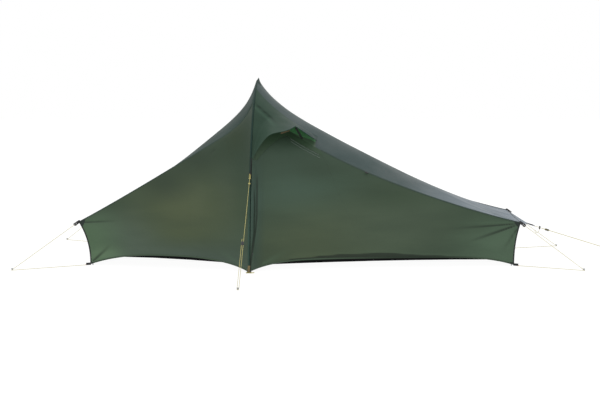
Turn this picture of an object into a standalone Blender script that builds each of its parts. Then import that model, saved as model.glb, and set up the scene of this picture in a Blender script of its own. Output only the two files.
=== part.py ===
"""A one-person backpacking tent with a single arch pole, pitched and closed.

Units are metres and +Z is up. +X runs along the tent from the head end to the foot end, and
-Y is the door side. The origin lies on the ground, on the centre line, below the arch.
"""

import math
from dataclasses import dataclass

import bmesh
import bpy
from mathutils import Matrix, Vector

# Driving dimensions of the arch
ARCH_HEIGHT = 1.000
ARCH_WIDTH = 1.132
ARCH_POWER = 1.8
RIDGE_HEIGHT = 0.875

# Driving dimensions of the flysheet
HEAD_LENGTH = 0.884
FOOT_LENGTH = 1.406
HEAD_LEAN = 0.064
FOOT_LEAN = 0.032
HEAD_BASE_WIDTH = 0.740
HEAD_TOP_WIDTH = 0.698
FOOT_BASE_WIDTH = 0.586
FOOT_TOP_WIDTH = 0.580
CORNER_HEIGHT = 0.234
HEAD_HEM_RISE = 0.060
FOOT_HEM_RISE = 0.046
HEM_CLEARANCE = 0.005
EDGE_CURVE = 2.2
PULL_REACH = 0.06
BEAK_LENGTH = 0.092
BEAK_DROP = 0.047
BEAK_TIP_WIDTH = 0.016
BEAK_SIDE_INSET = 0.004
FLY_THICKNESS = 0.0018

# Door, zip and vent
ZIP_TAPE_WIDTH = 0.016
DOOR_TOP_REACH = 0.364
DOOR_HEM_REACH = 0.620
DOOR_TOP_DROP = 0.045
DOOR_HOOD_CLEARANCE = 0.044
VENT_ROW_COUNT = 2
HOOD_ROWS = 7
HOOD_SEAT = 0.0029
HOOD_STAND_OFF = 0.0050
HOOD_CENTRE_Z = 0.350
HOOD_PEAK_X = 0.236
HOOD_PEAK_Y = -0.400
HOOD_PEAK_Z = 0.755
HOOD_END_X = 0.342
HOOD_END_Z = 0.672
HOOD_CORNER_Z = 0.575
HOOD_EDGE_POWER = 2.8
STRUT_RADIUS = 0.0022
STRUT_FOOT_X = 0.262
STRUT_TOP_INSET = 0.012
STRUT_TOP_GAP = 0.0004
ZIP_SLIDER_HEIGHT = 0.100
ZIP_SLIDER_TOP = 0.500
ZIP_SLIDER_LENGTH = 0.014
ZIP_SLIDER_WIDTH = 0.010
ZIP_SLIDER_DEPTH = 0.005
ZIP_SLIDER_STAND_OFF = 0.0006
ZIP_SLIDER_BEVEL = 0.001
ZIP_PULL_LENGTH = 0.030
ZIP_PULL_WIDTH = 0.006
ZIP_PULL_THICKNESS = 0.0015
TOGGLE_REACH = 0.612
TOGGLE_BELOW_RIDGE = 0.0068
TOGGLE_LENGTH = 0.020
TOGGLE_RADIUS = 0.003
TOGGLE_STAND_OFF = 0.0042
TOGGLE_POST_RADIUS = 0.002

# Pole, sleeve and corner struts
POLE_RADIUS = 0.00425
POLE_WALL = 0.00075
POLE_SECTIONS = 6
SEGMENTS_PER_SECTION = 6
SHOCK_CORD_RADIUS = 0.00125
SHOCK_CORD_TRIM = 0.002
SLEEVE_WALL = 0.0008
POLE_CLEARANCE = 0.0005
TUBE_SIDES = 8
CORNER_STRUT_RADIUS = 0.0025
CORNER_STRUT_INSET = 0.012
FOOT_PLATE_LENGTH = 0.046
FOOT_PLATE_WIDTH = 0.024
FOOT_PLATE_THICKNESS = 0.002

# Inner tent
INNER_HEAD_REACH = 0.830
INNER_FOOT_REACH = 1.370
INNER_NEAR_END = 0.090
INNER_NEAR_BULGE = 0.245
INNER_BACK_HEAD = 0.300
INNER_BACK_FOOT = 0.225
INNER_BACK_BULGE = 0.120
FLOOR_WALL_HEIGHT = 0.080
FLOOR_THICKNESS = 0.0010
FLOOR_FLARE = 0.008
INNER_DROP = 0.060
INNER_SIDE_GAP = 0.055
INNER_THICKNESS = 0.0010
INNER_END_SLOPE = 0.030
INNER_SHOULDER_INSET = 0.012
INNER_CROWN_RISE = 0.030
INNER_DOOR_LEFT = 0.060
INNER_DOOR_RIGHT = 0.420
INNER_DOOR_BOTTOM = 0.07
INNER_DOOR_TOP = 0.75
HANGER_WIDTH = 0.012
HANGER_THICKNESS = 0.0015
HANGER_OVERLAP = 0.003

# Guy lines, pegs and fittings
CORD_RADIUS = 0.0011
FRONT_GUY_HEIGHT = 0.497
FRONT_GUY_REACH = 1.042
END_GUY_REACH = 2.139
PEG_RADIUS = 0.003
PEG_HEIGHT = 0.011
PEG_HEAD_RADIUS = 0.0055
PEG_HEAD_THICKNESS = 0.003
HEAD_PEG_REACH = 1.261
HEAD_PEG_HALF = 0.552
FOOT_PEG_REACH = 1.756
FOOT_PEG_HALF = 0.425
SLIDER_LENGTH = 0.024
SLIDER_WIDTH = 0.016
SLIDER_DEPTH = 0.006
FRONT_SLIDER_FROM_PEG = 0.290
END_SLIDER_FROM_PEG = 0.535
SLIDER_TAIL = 0.030
SLIDER_BEVEL = 0.001
BUCKLE_LENGTH = 0.030
BUCKLE_WIDTH = 0.018
BUCKLE_THICKNESS = 0.004
BUCKLE_BEVEL = 0.0008
BUCKLE_SLOT_LENGTH = 0.006
BUCKLE_SLOT_WIDTH = 0.011
TAB_LENGTH = 0.022
TAB_WIDTH = 0.014
TAB_THICKNESS = 0.002
CORNER_GAP = 0.0006
HOOK_LENGTH = 0.030
HOOK_DROP = 0.009
HOOK_RADIUS = 0.002

# Clearances
GAP = 0.0003
SEAM_GAP = 0.0008
INNER_DOOR_GAP = 0.0010

SLEEVE_INNER = POLE_RADIUS + POLE_CLEARANCE
SLEEVE_OUTER = SLEEVE_INNER + SLEEVE_WALL
ARCH_TOP = ARCH_HEIGHT - SLEEVE_OUTER
ARCH_HALF = ARCH_WIDTH / 2
PANEL_START = SLEEVE_OUTER + GAP
TAPE_END = PANEL_START + ZIP_TAPE_WIDTH
CORD_BEND = PEG_RADIUS + GAP + CORD_RADIUS

WALL_STATIONS = [step / 8 for step in range(9)]
ROOF_STATIONS = [step / 5 for step in range(-5, 6)]
END_STATIONS = [step / 2 for step in range(-2, 3)]
INNER_END_STEPS = 4
INNER_DOOR_STEPS = 2
CROWN_ROW = 5


@dataclass
class Side:
    """One half of the flysheet, from the arch to one end."""

    name: str
    sign: int
    length: float
    lean: float
    base_half: float
    top_half: float
    hem_rise: float
    hem_power: float
    pull: float
    ridge_fall: tuple
    crown_fall: tuple
    peg_reach: float
    peg_half: float


HEAD = Side(
    name="head", sign=-1, length=HEAD_LENGTH, lean=HEAD_LEAN,
    base_half=HEAD_BASE_WIDTH / 2, top_half=HEAD_TOP_WIDTH / 2,
    hem_rise=HEAD_HEM_RISE, hem_power=2.6, pull=0.22,
    ridge_fall=(0.139, 0.050, 0.071), crown_fall=(0.160, 0.055, 0.466),
    peg_reach=HEAD_PEG_REACH, peg_half=HEAD_PEG_HALF,
)
FOOT = Side(
    name="foot", sign=1, length=FOOT_LENGTH, lean=FOOT_LEAN,
    base_half=FOOT_BASE_WIDTH / 2, top_half=FOOT_TOP_WIDTH / 2,
    hem_rise=FOOT_HEM_RISE, hem_power=5.0, pull=0.30,
    ridge_fall=(0.305, 0.272, 0.187), crown_fall=(0.149, 0.081, 0.314),
    peg_reach=FOOT_PEG_REACH, peg_half=FOOT_PEG_HALF,
)


# Shared helpers


def clear_scene():
    for item in list(bpy.data.objects):
        bpy.data.objects.remove(item, do_unlink=True)


def material(name, colour, roughness, metallic=0.0):
    made = bpy.data.materials.new(name)
    made.use_nodes = True
    shader = made.node_tree.nodes["Principled BSDF"]
    shader.inputs["Base Color"].default_value = (*colour, 1.0)
    shader.inputs["Roughness"].default_value = roughness
    shader.inputs["Metallic"].default_value = metallic
    return made


def mix(start, end, share):
    return start + (end - start) * share


def place(name, mesh_builder, paint, origin=None, smooth=True):
    """Turns a bmesh into an object, with its origin moved to the given point."""
    bmesh.ops.recalc_face_normals(mesh_builder, faces=mesh_builder.faces)
    if mesh_builder.calc_volume(signed=True) < 0:
        bmesh.ops.reverse_faces(mesh_builder, faces=mesh_builder.faces)
    mesh = bpy.data.meshes.new(name)
    mesh_builder.to_mesh(mesh)
    mesh_builder.free()
    made = bpy.data.objects.new(name, mesh)
    bpy.context.scene.collection.objects.link(made)
    mesh.materials.append(paint)
    if origin is not None:
        mesh.transform(Matrix.Translation(-Vector(origin)))
        made.location = origin
    if smooth:
        mesh.shade_smooth()
        mesh.set_sharp_from_angle(angle=math.radians(40))
    return made


def box(name, size, paint, matrix, bevel=0.0):
    """A box of the given size about the matrix's origin, with its edges bevelled."""
    build = bmesh.new()
    bmesh.ops.create_cube(build, size=1.0)
    bmesh.ops.scale(build, vec=size, verts=build.verts)
    if bevel:
        bmesh.ops.bevel(build, geom=build.edges[:], offset=bevel, segments=1, affect="EDGES")
    bmesh.ops.transform(build, matrix=matrix, verts=build.verts)
    return place(name, build, paint, origin=matrix.translation, smooth=False)


def frame_along(origin, forward, across):
    """A matrix with +X along forward, +Y near across, and +Z square to both."""
    x_axis = Vector(forward).normalized()
    z_axis = x_axis.cross(Vector(across)).normalized()
    y_axis = z_axis.cross(x_axis)
    turn = Matrix((x_axis, y_axis, z_axis)).transposed().to_4x4()
    return Matrix.Translation(origin) @ turn


def combine(target, helper, operation="DIFFERENCE"):
    """Cuts a hidden helper from the target, or joins it to the target."""
    helper.hide_render = True
    helper.display_type = "WIRE"
    modifier = target.modifiers.new(operation.lower(), "BOOLEAN")
    modifier.operation = operation
    modifier.solver = "EXACT"
    modifier.object = helper


def rod(name, start, end, radius, paint, sides=TUBE_SIDES, origin=None):
    """A solid straight rod between two points."""
    start, end = Vector(start), Vector(end)
    build = bmesh.new()
    bmesh.ops.create_cone(
        build, cap_ends=True, segments=sides, radius1=radius, radius2=radius,
        depth=(end - start).length,
    )
    turn = (end - start).to_track_quat("Z", "Y").to_matrix().to_4x4()
    bmesh.ops.transform(build, matrix=Matrix.Translation((start + end) / 2) @ turn, verts=build.verts)
    return place(name, build, paint, origin=origin)


def grid_shell(name, outer, inner, paint, keep=None, origin=None):
    """A closed shell between two grids of points. keep(column, row) says which cells are cloth.

    Each cell is split along the same diagonal on both skins, so that a twisted cell keeps its wall.
    """
    build = bmesh.new()
    columns, rows = len(outer), len(outer[0])
    kept = {
        (column, row)
        for column in range(columns - 1)
        for row in range(rows - 1)
        if keep is None or keep(column, row)
    }
    corners = {
        (column + right, row + up) for column, row in kept for right in (0, 1) for up in (0, 1)
    }
    top = {corner: build.verts.new(outer[corner[0]][corner[1]]) for corner in sorted(corners)}
    low = {corner: build.verts.new(inner[corner[0]][corner[1]]) for corner in sorted(corners)}
    for column, row in sorted(kept):
        ring = [(column, row), (column + 1, row), (column + 1, row + 1), (column, row + 1)]
        for half in (ring[:3], [ring[0], ring[2], ring[3]]):
            build.faces.new([top[corner] for corner in half])
            build.faces.new([low[corner] for corner in reversed(half)])
        beyond = [(column, row - 1), (column + 1, row), (column, row + 1), (column - 1, row)]
        for side in range(4):
            if beyond[side] not in kept:
                first, last = ring[side], ring[(side + 1) % 4]
                build.faces.new([low[first], low[last], top[last], top[first]])
    return place(name, build, paint, origin=origin)


def thicken(points, direction, thickness):
    """The outer and inner grids, half a thickness to each side of the points."""
    outer = [[p + direction(p) * thickness / 2 for p in column] for column in points]
    inner = [[p - direction(p) * thickness / 2 for p in column] for column in points]
    return outer, inner


# The arch and the flysheet's surface


def arch_half_width(height):
    """Half the arch's width at a height, on the pole's centre line."""
    return ARCH_HALF * (1 - (height / ARCH_TOP) ** ARCH_POWER) ** (1 / ARCH_POWER)


def arch_height(across):
    """The arch's height at a distance from the centre line."""
    return ARCH_TOP * (1 - (abs(across) / ARCH_HALF) ** ARCH_POWER) ** (1 / ARCH_POWER)


def fall(share, dip, dip_reach, droop):
    """How much of the arch's height is left at a share of the way to the end: 1 to 0."""
    return (1 - share) * (1 - dip * (1 - math.exp(-share / dip_reach)) - droop * share**2)


def ridge_height(side, share):
    return CORNER_HEIGHT + (RIDGE_HEIGHT - CORNER_HEIGHT) * fall(share, *side.ridge_fall)


def arch_share(side, share):
    """How much of a wall's width is the arch's: it is drawn in fast beside the pole, then evenly."""
    return (1 - share) * (1 - side.pull * (1 - math.exp(-share / PULL_REACH)))


def ridge_half(side, share):
    return mix(side.top_half, arch_half_width(RIDGE_HEIGHT), arch_share(side, share))


def hem_height(side, share):
    return HEM_CLEARANCE + side.hem_rise * (1 - abs(2 * share - 1) ** side.hem_power)


def end_reach(side, rise):
    """How far the end edge lies from the arch at a share of its height."""
    return side.length + side.lean * rise**EDGE_CURVE


def share_along(side, reach, rise):
    return (reach - PANEL_START) / (end_reach(side, rise) - PANEL_START)


def wall_point(side, facing, reach, rise):
    """A point of a side wall. facing is -1 for the door side, and rise runs from hem to ridge."""
    share = min(1.0, share_along(side, reach, rise))
    height = mix(hem_height(side, share), ridge_height(side, share), rise)
    at_arch = arch_half_width(mix(HEM_CLEARANCE, RIDGE_HEIGHT, rise))
    at_end = mix(side.base_half, side.top_half, rise)
    return Vector((side.sign * reach, facing * mix(at_end, at_arch, arch_share(side, share)), height))


def roof_point(side, reach, across):
    """A point of the roof. across runs from -1 at the door side's ridge to 1 at the back's."""
    share = min(1.0, share_along(side, reach, 1.0))
    at_arch = arch_height(across * arch_half_width(RIDGE_HEIGHT))
    ridge, crown = fall(share, *side.ridge_fall), fall(share, *side.crown_fall)
    left = mix(crown, ridge, across**2)
    height = CORNER_HEIGHT + (at_arch - CORNER_HEIGHT) * left
    return Vector((side.sign * reach, across * ridge_half(side, share), height))


def outward(side):
    """The direction in which the fly's thickness is laid, the same on both sides of a seam."""
    def direction(point):
        share = min(1.0, share_along(side, abs(point.x), 1.0))
        half = mix(ARCH_HALF, side.base_half, share)
        crown = CORNER_HEIGHT + (ARCH_TOP - CORNER_HEIGHT) * fall(share, *side.crown_fall)
        return Vector((0, point.y / half**2, point.z / crown**2)).normalized()
    return direction


def trimmed_rise(side, reach, rise):
    """The rise, with half a seam's gap left below the ridge."""
    share = min(1.0, share_along(side, reach, 1.0))
    return min(rise, 1 - SEAM_GAP / 2 / ridge_height(side, share))


def hinge_reach(rise):
    """The straight line in side view where the door meets the fixed wall."""
    low = wall_point(FOOT, -1, DOOR_HEM_REACH, 0).z
    high = wall_point(FOOT, -1, DOOR_TOP_REACH, 1).z
    reach = mix(DOOR_HEM_REACH, DOOR_TOP_REACH, rise)
    for _ in range(12):
        height = wall_point(FOOT, -1, reach, rise).z
        reach = mix(DOOR_HEM_REACH, DOOR_TOP_REACH, (height - low) / (high - low))
    return reach


def spread(start, end, steps, power=1.0):
    return [mix(start, end, (step / steps) ** power) for step in range(steps + 1)]


DOOR_STATIONS = spread(TAPE_END, DOOR_TOP_REACH, 6, 1.3)
FIXED_STATIONS = spread(DOOR_TOP_REACH, FOOT_LENGTH + FOOT_LEAN, 7)
FOOT_STATIONS = [PANEL_START] + DOOR_STATIONS + FIXED_STATIONS[1:]
HEAD_STATIONS = spread(PANEL_START, HEAD_LENGTH + HEAD_LEAN, 9, 1.6)


def wall_grid(side, facing, reaches):
    """Wall points for stations that are given along the ridge and shrink with the end's lean."""
    top = end_reach(side, 1.0)
    points = []
    for reach in reaches:
        share = (reach - PANEL_START) / (top - PANEL_START)
        column = []
        for rise in WALL_STATIONS:
            lift = trimmed_rise(side, reach, rise)
            column.append(
                wall_point(side, facing, mix(PANEL_START, end_reach(side, lift), share), lift)
            )
        points.append(column)
    return points


def roof_grid(side, reaches, stations):
    points = []
    for reach in reaches:
        share = min(1.0, share_along(side, reach, 1.0))
        limit = 1 - SEAM_GAP / 2 / ridge_half(side, share)
        points.append([
            roof_point(side, reach, max(-limit, min(limit, across))) for across in stations
        ])
    return points


def make_walls(cloth):
    for side, facing, stations in (
        (HEAD, -1, HEAD_STATIONS), (HEAD, 1, HEAD_STATIONS), (FOOT, 1, FOOT_STATIONS),
    ):
        face = "front" if facing < 0 else "back"
        points = wall_grid(side, facing, stations)
        grid_shell(f"fly_{face}_{side.name}", *thicken(points, outward(side), FLY_THICKNESS), cloth)


def make_front_foot_wall(cloth):
    """The fixed wall on the door side, from the door's hinge line to the foot end."""
    top = end_reach(FOOT, 1.0)
    points = []
    for reach in FIXED_STATIONS:
        share = (reach - DOOR_TOP_REACH) / (top - DOOR_TOP_REACH)
        column = []
        for rise in WALL_STATIONS:
            lift = trimmed_rise(FOOT, reach, rise)
            start = hinge_reach(lift) + SEAM_GAP / 2
            column.append(wall_point(FOOT, -1, mix(start, end_reach(FOOT, lift), share), lift))
        points.append(column)
    grid_shell("fly_front_foot", *thicken(points, outward(FOOT), FLY_THICKNESS), cloth)


def make_zip_tape(paint):
    points = [
        [
            wall_point(FOOT, -1, reach, trimmed_rise(FOOT, reach, rise))
            for rise in WALL_STATIONS
        ]
        for reach in (PANEL_START, TAPE_END - SEAM_GAP / 2)
    ]
    grid_shell("door_zip_tape", *thicken(points, outward(FOOT), FLY_THICKNESS), paint)


def door_axis():
    """Two points on the door's hinge line, clear outside the bulge of the wall there."""
    line = [wall_point(FOOT, -1, hinge_reach(rise), rise) for rise in WALL_STATIONS]
    foot, head = line[0], line[-1]
    along = (head - foot).normalized()
    out = along.cross(Vector((1, 0, 0))).normalized()
    if out.y > 0:
        out = -out
    bulge = max((point - foot).dot(out) for point in line)
    shift = out * (bulge + FLY_THICKNESS)
    return foot + shift, head + shift


def door_top_rise(reach):
    """How far up the wall the door reaches: below the ridge, and below the hood's free edge."""
    share = share_along(FOOT, reach, 1.0)
    hem, ridge = hem_height(FOOT, share), ridge_height(FOOT, share)
    under_hood = (hood_edge(min(reach, HOOD_END_X)).z - DOOR_HOOD_CLEARANCE - hem) / (ridge - hem)
    return min(1 - DOOR_TOP_DROP, under_hood)


def make_door(cloth):
    points = []
    for reach in DOOR_STATIONS:
        share = (reach - TAPE_END) / (DOOR_TOP_REACH - TAPE_END)
        top = door_top_rise(reach)
        column = []
        for rise in WALL_STATIONS:
            start = TAPE_END + SEAM_GAP / 2
            end = hinge_reach(rise * top) - SEAM_GAP / 2
            column.append(wall_point(FOOT, -1, mix(start, end, share), rise * top))
        points.append(column)
    foot, _ = door_axis()
    grid_shell("fly_door", *thicken(points, outward(FOOT), FLY_THICKNESS), cloth, origin=foot)


def make_roofs(cloth, netting):
    """The two roof panels. The foot one leaves out the vent, which the mesh panel fills."""
    head = roof_grid(HEAD, HEAD_STATIONS, ROOF_STATIONS)
    grid_shell("fly_roof_head", *thicken(head, outward(HEAD), FLY_THICKNESS), cloth)

    vent_columns = len(DOOR_STATIONS)
    foot = roof_grid(FOOT, FOOT_STATIONS, ROOF_STATIONS)
    grid_shell(
        "fly_roof_foot", *thicken(foot, outward(FOOT), FLY_THICKNESS), cloth,
        keep=lambda column, row: row >= VENT_ROW_COUNT or not 1 <= column < vent_columns,
    )
    make_vent_mesh(netting)


def make_vent_mesh(netting):
    """The netting under the hood, from the roof over the ridge down to the door's top edge."""
    points = []
    for reach in DOOR_STATIONS:
        share = (reach - TAPE_END) / (DOOR_TOP_REACH - TAPE_END)
        start = TAPE_END + SEAM_GAP / 2
        on_roof = mix(start, DOOR_TOP_REACH - SEAM_GAP, share)
        trim = SEAM_GAP / ridge_half(FOOT, 0.0)
        column = [
            roof_point(FOOT, on_roof, across - (trim if row == 0 else 0))
            for row, across in enumerate(reversed(ROOF_STATIONS[: VENT_ROW_COUNT + 1]))
        ]
        low = door_top_rise(reach) + SEAM_GAP / ridge_height(FOOT, 0.0)
        for lift in (mix(low, 1, 0.5), low):
            end = hinge_reach(lift) - SEAM_GAP
            column.append(wall_point(FOOT, -1, mix(start, end, share), lift))
        points.append(column)
    grid_shell("vent_mesh", *thicken(points, outward(FOOT), FLY_THICKNESS / 2), netting)


def make_ends(cloth):
    """End walls, laid just outside the edges of the walls and the roof."""
    for side in (HEAD, FOOT):
        offset = GAP + FLY_THICKNESS
        points = []
        for rise in WALL_STATIONS:
            reach = end_reach(side, rise)
            corner = wall_point(side, 1, reach, rise)
            points.append([
                Vector((side.sign * (reach + offset), corner.y * across, corner.z))
                for across in END_STATIONS
            ])
        half = Vector((FLY_THICKNESS / 2, 0, 0))
        outer = [[point + half for point in row] for row in points]
        inner = [[point - half for point in row] for row in points]
        grid_shell(f"fly_end_{side.name}", outer, inner, cloth)


def beak_tip():
    return Vector((FOOT_LENGTH + FOOT_LEAN + BEAK_LENGTH, 0, CORNER_HEIGHT - BEAK_DROP))


def make_beak(cloth):
    """The small awning over the foot end, which narrows to the main guy line."""
    start = FOOT_LENGTH + FOOT_LEAN + 2 * GAP + 1.5 * FLY_THICKNESS
    tip = beak_tip()
    points = []
    for share in (0, 0.35, 0.7, 1):
        half = mix(FOOT.top_half - BEAK_SIDE_INSET, BEAK_TIP_WIDTH / 2, share)
        height = mix(CORNER_HEIGHT - FLY_THICKNESS, tip.z, share)
        points.append([
            Vector((mix(start, tip.x, share), half * across, height)) for across in END_STATIONS
        ])
    grid_shell("end_beak", *thicken(points, lambda p: Vector((0, 0, 1)), FLY_THICKNESS), cloth)


# Vent hood and its strut


def fly_radius(reach, turn):
    """How far the fly lies from the hood's centre, at an angle from straight up."""
    outline = [roof_point(FOOT, reach, -step / 20) for step in range(21)]
    outline += [wall_point(FOOT, -1, reach, 1 - step / 20) for step in range(1, 21)]
    polar = [
        (math.atan2(-p.y, p.z - HOOD_CENTRE_Z), math.hypot(p.y, p.z - HOOD_CENTRE_Z)) for p in outline
    ]
    for (near, near_radius), (far, far_radius) in zip(polar, polar[1:]):
        if near <= turn <= far:
            return mix(near_radius, far_radius, (turn - near) / (far - near))
    return polar[-1][1]


def clear_of_fly(point, stand_off):
    """Moves a point of the hood outwards where it would lie closer to the fly than the stand-off."""
    height = point.z - HOOD_CENTRE_Z
    turn = math.atan2(-point.y, height)
    radius = max(math.hypot(point.y, height), fly_radius(point.x, turn) + stand_off)
    return Vector((point.x, -radius * math.sin(turn), HOOD_CENTRE_Z + radius * math.cos(turn)))


def hood_edge(reach):
    """The hood's free edge, from the arch over the propped peak down to its foot-side end."""
    corner = Vector((PANEL_START, -arch_half_width(HOOD_CORNER_Z), HOOD_CORNER_Z))
    peak = Vector((HOOD_PEAK_X, HOOD_PEAK_Y, HOOD_PEAK_Z))
    end = Vector((HOOD_END_X, wall_point(FOOT, -1, HOOD_END_X, 1).y, HOOD_END_Z))
    if reach <= HOOD_PEAK_X:
        along = (reach - PANEL_START) / (HOOD_PEAK_X - PANEL_START)
        point = corner.lerp(peak, along)
        point.z = mix(corner.z, peak.z, 1 - (1 - along) ** HOOD_EDGE_POWER)
        return point
    return peak.lerp(end, (reach - HOOD_PEAK_X) / (HOOD_END_X - HOOD_PEAK_X))


def make_hood(cloth):
    top = ROOF_STATIONS[VENT_ROW_COUNT]
    near = spread(PANEL_START, HOOD_PEAK_X, 5)
    points = []
    for reach in near + spread(HOOD_PEAK_X, HOOD_END_X, 3)[1:]:
        root = roof_point(FOOT, reach, top)
        edge = hood_edge(reach)
        column = [clear_of_fly(root, HOOD_SEAT)]
        for row in range(1, HOOD_ROWS + 1):
            column.append(clear_of_fly(root.lerp(edge, row / HOOD_ROWS), HOOD_STAND_OFF))
        points.append(column)
    grid_shell("vent_hood", *thicken(points, outward(FOOT), FLY_THICKNESS), cloth)


def strut_ends():
    peak = Vector((HOOD_PEAK_X, HOOD_PEAK_Y, HOOD_PEAK_Z))
    top = peak + Vector((0, STRUT_TOP_INSET, -FLY_THICKNESS - STRUT_RADIUS - STRUT_TOP_GAP))
    foot = wall_point(FOOT, -1, STRUT_FOOT_X, 1)
    foot += outward(FOOT)(foot) * (FLY_THICKNESS / 2 + STRUT_RADIUS + GAP)
    return top, foot


def make_strut(plastic):
    top, foot = strut_ends()
    rod("vent_strut", top, foot, STRUT_RADIUS, plastic, origin=top)


# Pole, sleeve and struts


def arch_stations(count):
    """Points evenly spaced along the arch's centre line, from the door side over to the back."""
    fine = []
    for step in range(2001):
        turn = math.pi * step / 2000
        across = -math.copysign(abs(math.cos(turn)) ** (2 / ARCH_POWER), math.cos(turn))
        rise = max(0.0, math.sin(turn)) ** (2 / ARCH_POWER)
        fine.append(Vector((0, ARCH_HALF * across, ARCH_TOP * rise)))
    lengths = [0.0]
    for before, after in zip(fine, fine[1:]):
        lengths.append(lengths[-1] + (after - before).length)
    points, here = [], 0
    for index in range(count + 1):
        target = lengths[-1] * index / count
        while here < len(fine) - 2 and lengths[here + 1] < target:
            here += 1
        piece = lengths[here + 1] - lengths[here]
        points.append(fine[here].lerp(fine[here + 1], (target - lengths[here]) / piece))
    return points


ARCH_POINTS = arch_stations(POLE_SECTIONS * SEGMENTS_PER_SECTION)


def arch_tangent(index):
    before = ARCH_POINTS[max(0, index - 1)]
    after = ARCH_POINTS[min(len(ARCH_POINTS) - 1, index + 1)]
    if index in (0, len(ARCH_POINTS) - 1):
        return Vector((0, 0, 1 if index == 0 else -1))
    return (after - before).normalized()


def ring(centre, tangent, radius, inward=0.0):
    """A ring of points square to the arch, moved towards its hollow side by inward."""
    lift = tangent.cross(Vector((1, 0, 0))).normalized()
    sideways = Vector((1, 0, 0))
    centre = centre + lift * inward
    return [
        centre + (sideways * math.cos(turn) + lift * math.sin(turn)) * radius
        for turn in (2 * math.pi * step / TUBE_SIDES for step in range(TUBE_SIDES))
    ]


def arch_tube(name, first, last, outer, inner, paint, trim=0.0, inward=0.0):
    """A tube, or a solid rod where inner is 0, along the arch between two stations."""
    build = bmesh.new()
    skins = [outer, inner] if inner else [outer]
    rings = []
    for radius in skins:
        loops = []
        for index in range(first, last + 1):
            tangent = arch_tangent(index)
            centre = ARCH_POINTS[index].copy()
            if index == first:
                centre += tangent * trim
            if index == last:
                centre -= tangent * trim
            loops.append([build.verts.new(point) for point in ring(centre, tangent, radius, inward)])
        for near, far in zip(loops, loops[1:]):
            for step in range(TUBE_SIDES):
                after = (step + 1) % TUBE_SIDES
                build.faces.new([near[step], near[after], far[after], far[step]])
        rings.append(loops)
    for end in (0, -1):
        if inner:
            for step in range(TUBE_SIDES):
                after = (step + 1) % TUBE_SIDES
                outside, inside = rings[0][end], rings[1][end]
                build.faces.new([outside[step], outside[after], inside[after], inside[step]])
        else:
            build.faces.new(rings[0][end])
    return place(name, build, paint)


def make_pole(metal, rubber, cloth):
    total = POLE_SECTIONS * SEGMENTS_PER_SECTION
    for section in range(POLE_SECTIONS):
        first = section * SEGMENTS_PER_SECTION
        arch_tube(
            f"pole_section_{section + 1}", first, first + SEGMENTS_PER_SECTION,
            POLE_RADIUS, POLE_RADIUS - POLE_WALL, metal, trim=GAP / 2 if section else 0.0,
        )
    flat = math.cos(math.pi / TUBE_SIDES)
    slack = (POLE_RADIUS - POLE_WALL - SHOCK_CORD_RADIUS) * flat - GAP
    arch_tube(
        "pole_shock_cord", 0, total, SHOCK_CORD_RADIUS, 0, rubber, trim=SHOCK_CORD_TRIM, inward=-slack
    )
    arch_tube("pole_sleeve", 1, total - 1, SLEEVE_OUTER, SLEEVE_INNER, cloth)


def make_foot_plates(webbing):
    """Webbing plates on the ground, each with an eyelet for the pole's end."""
    for name, facing in (("front", -1), ("back", 1)):
        centre = Vector((0, facing * ARCH_HALF, GAP + FOOT_PLATE_THICKNESS / 2))
        plate = box(
            f"foot_eyelet_{name}", (FOOT_PLATE_WIDTH, FOOT_PLATE_LENGTH, FOOT_PLATE_THICKNESS),
            webbing, Matrix.Translation(centre),
        )
        hole = rod(
            f"cutter_eyelet_{name}", centre - Vector((0, 0, 0.01)), centre + Vector((0, 0, 0.01)),
            POLE_RADIUS + POLE_CLEARANCE, webbing,
        )
        combine(plate, hole)


def make_corner_struts(metal):
    for side in (HEAD, FOOT):
        for name, facing in (("front", -1), ("back", 1)):
            inset = FLY_THICKNESS / 2 + CORNER_STRUT_RADIUS
            low = wall_point(side, facing, side.length - CORNER_STRUT_INSET, 0)
            reach = side.length - CORNER_STRUT_INSET + side.lean / 4
            high = wall_point(side, facing, reach, 1)
            low.y -= facing * inset
            high.y -= facing * (inset + FLY_THICKNESS)
            low.z = GAP
            high.z -= FLY_THICKNESS + GAP + CORNER_STRUT_RADIUS
            rod(f"corner_strut_{side.name}_{name}", low, high, CORNER_STRUT_RADIUS, metal)


# Inner tent


def inner_near(reach, length):
    share = abs(reach) / length
    return -(INNER_NEAR_END + INNER_NEAR_BULGE * max(0.0, 1 - share) ** 1.7)


def inner_back(reach, length, end):
    share = abs(reach) / length
    return end + INNER_BACK_BULGE * max(0.0, 1 - share) ** 1.3


def inner_section(x, drop=1.0):
    """The inner tent's outline at one x: base and shoulder on the door side, then on the back."""
    side = HEAD if x < 0 else FOOT
    length = INNER_HEAD_REACH if x < 0 else INNER_FOOT_REACH
    end = INNER_BACK_HEAD if x < 0 else INNER_BACK_FOOT
    share = share_along(side, max(abs(x), PANEL_START), 1.0)
    shoulder = ridge_height(side, share) - INNER_DROP
    half = mix(arch_half_width(RIDGE_HEIGHT), side.top_half, share) - INNER_SIDE_GAP
    near, back = inner_near(x, length), inner_back(x, length, end)
    base = FLOOR_WALL_HEIGHT + SEAM_GAP + GAP
    near_top = max(-half, near + INNER_SHOULDER_INSET)
    crown = shoulder + INNER_CROWN_RISE * (1 - share)
    points = [
        Vector((x, mix(near, near_top, rise), mix(base, shoulder, rise)))
        for rise in (0, INNER_DOOR_BOTTOM, (INNER_DOOR_BOTTOM + INNER_DOOR_TOP) / 2, INNER_DOOR_TOP, 1)
    ]
    points.append(Vector((x, (near_top + half) / 2, crown)))
    points += [Vector((x, mix(half, back, rise), mix(shoulder, base, rise))) for rise in (0, 0.5, 1)]
    return [Vector((p.x, p.y, mix(base, p.z, drop))) for p in points]


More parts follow.
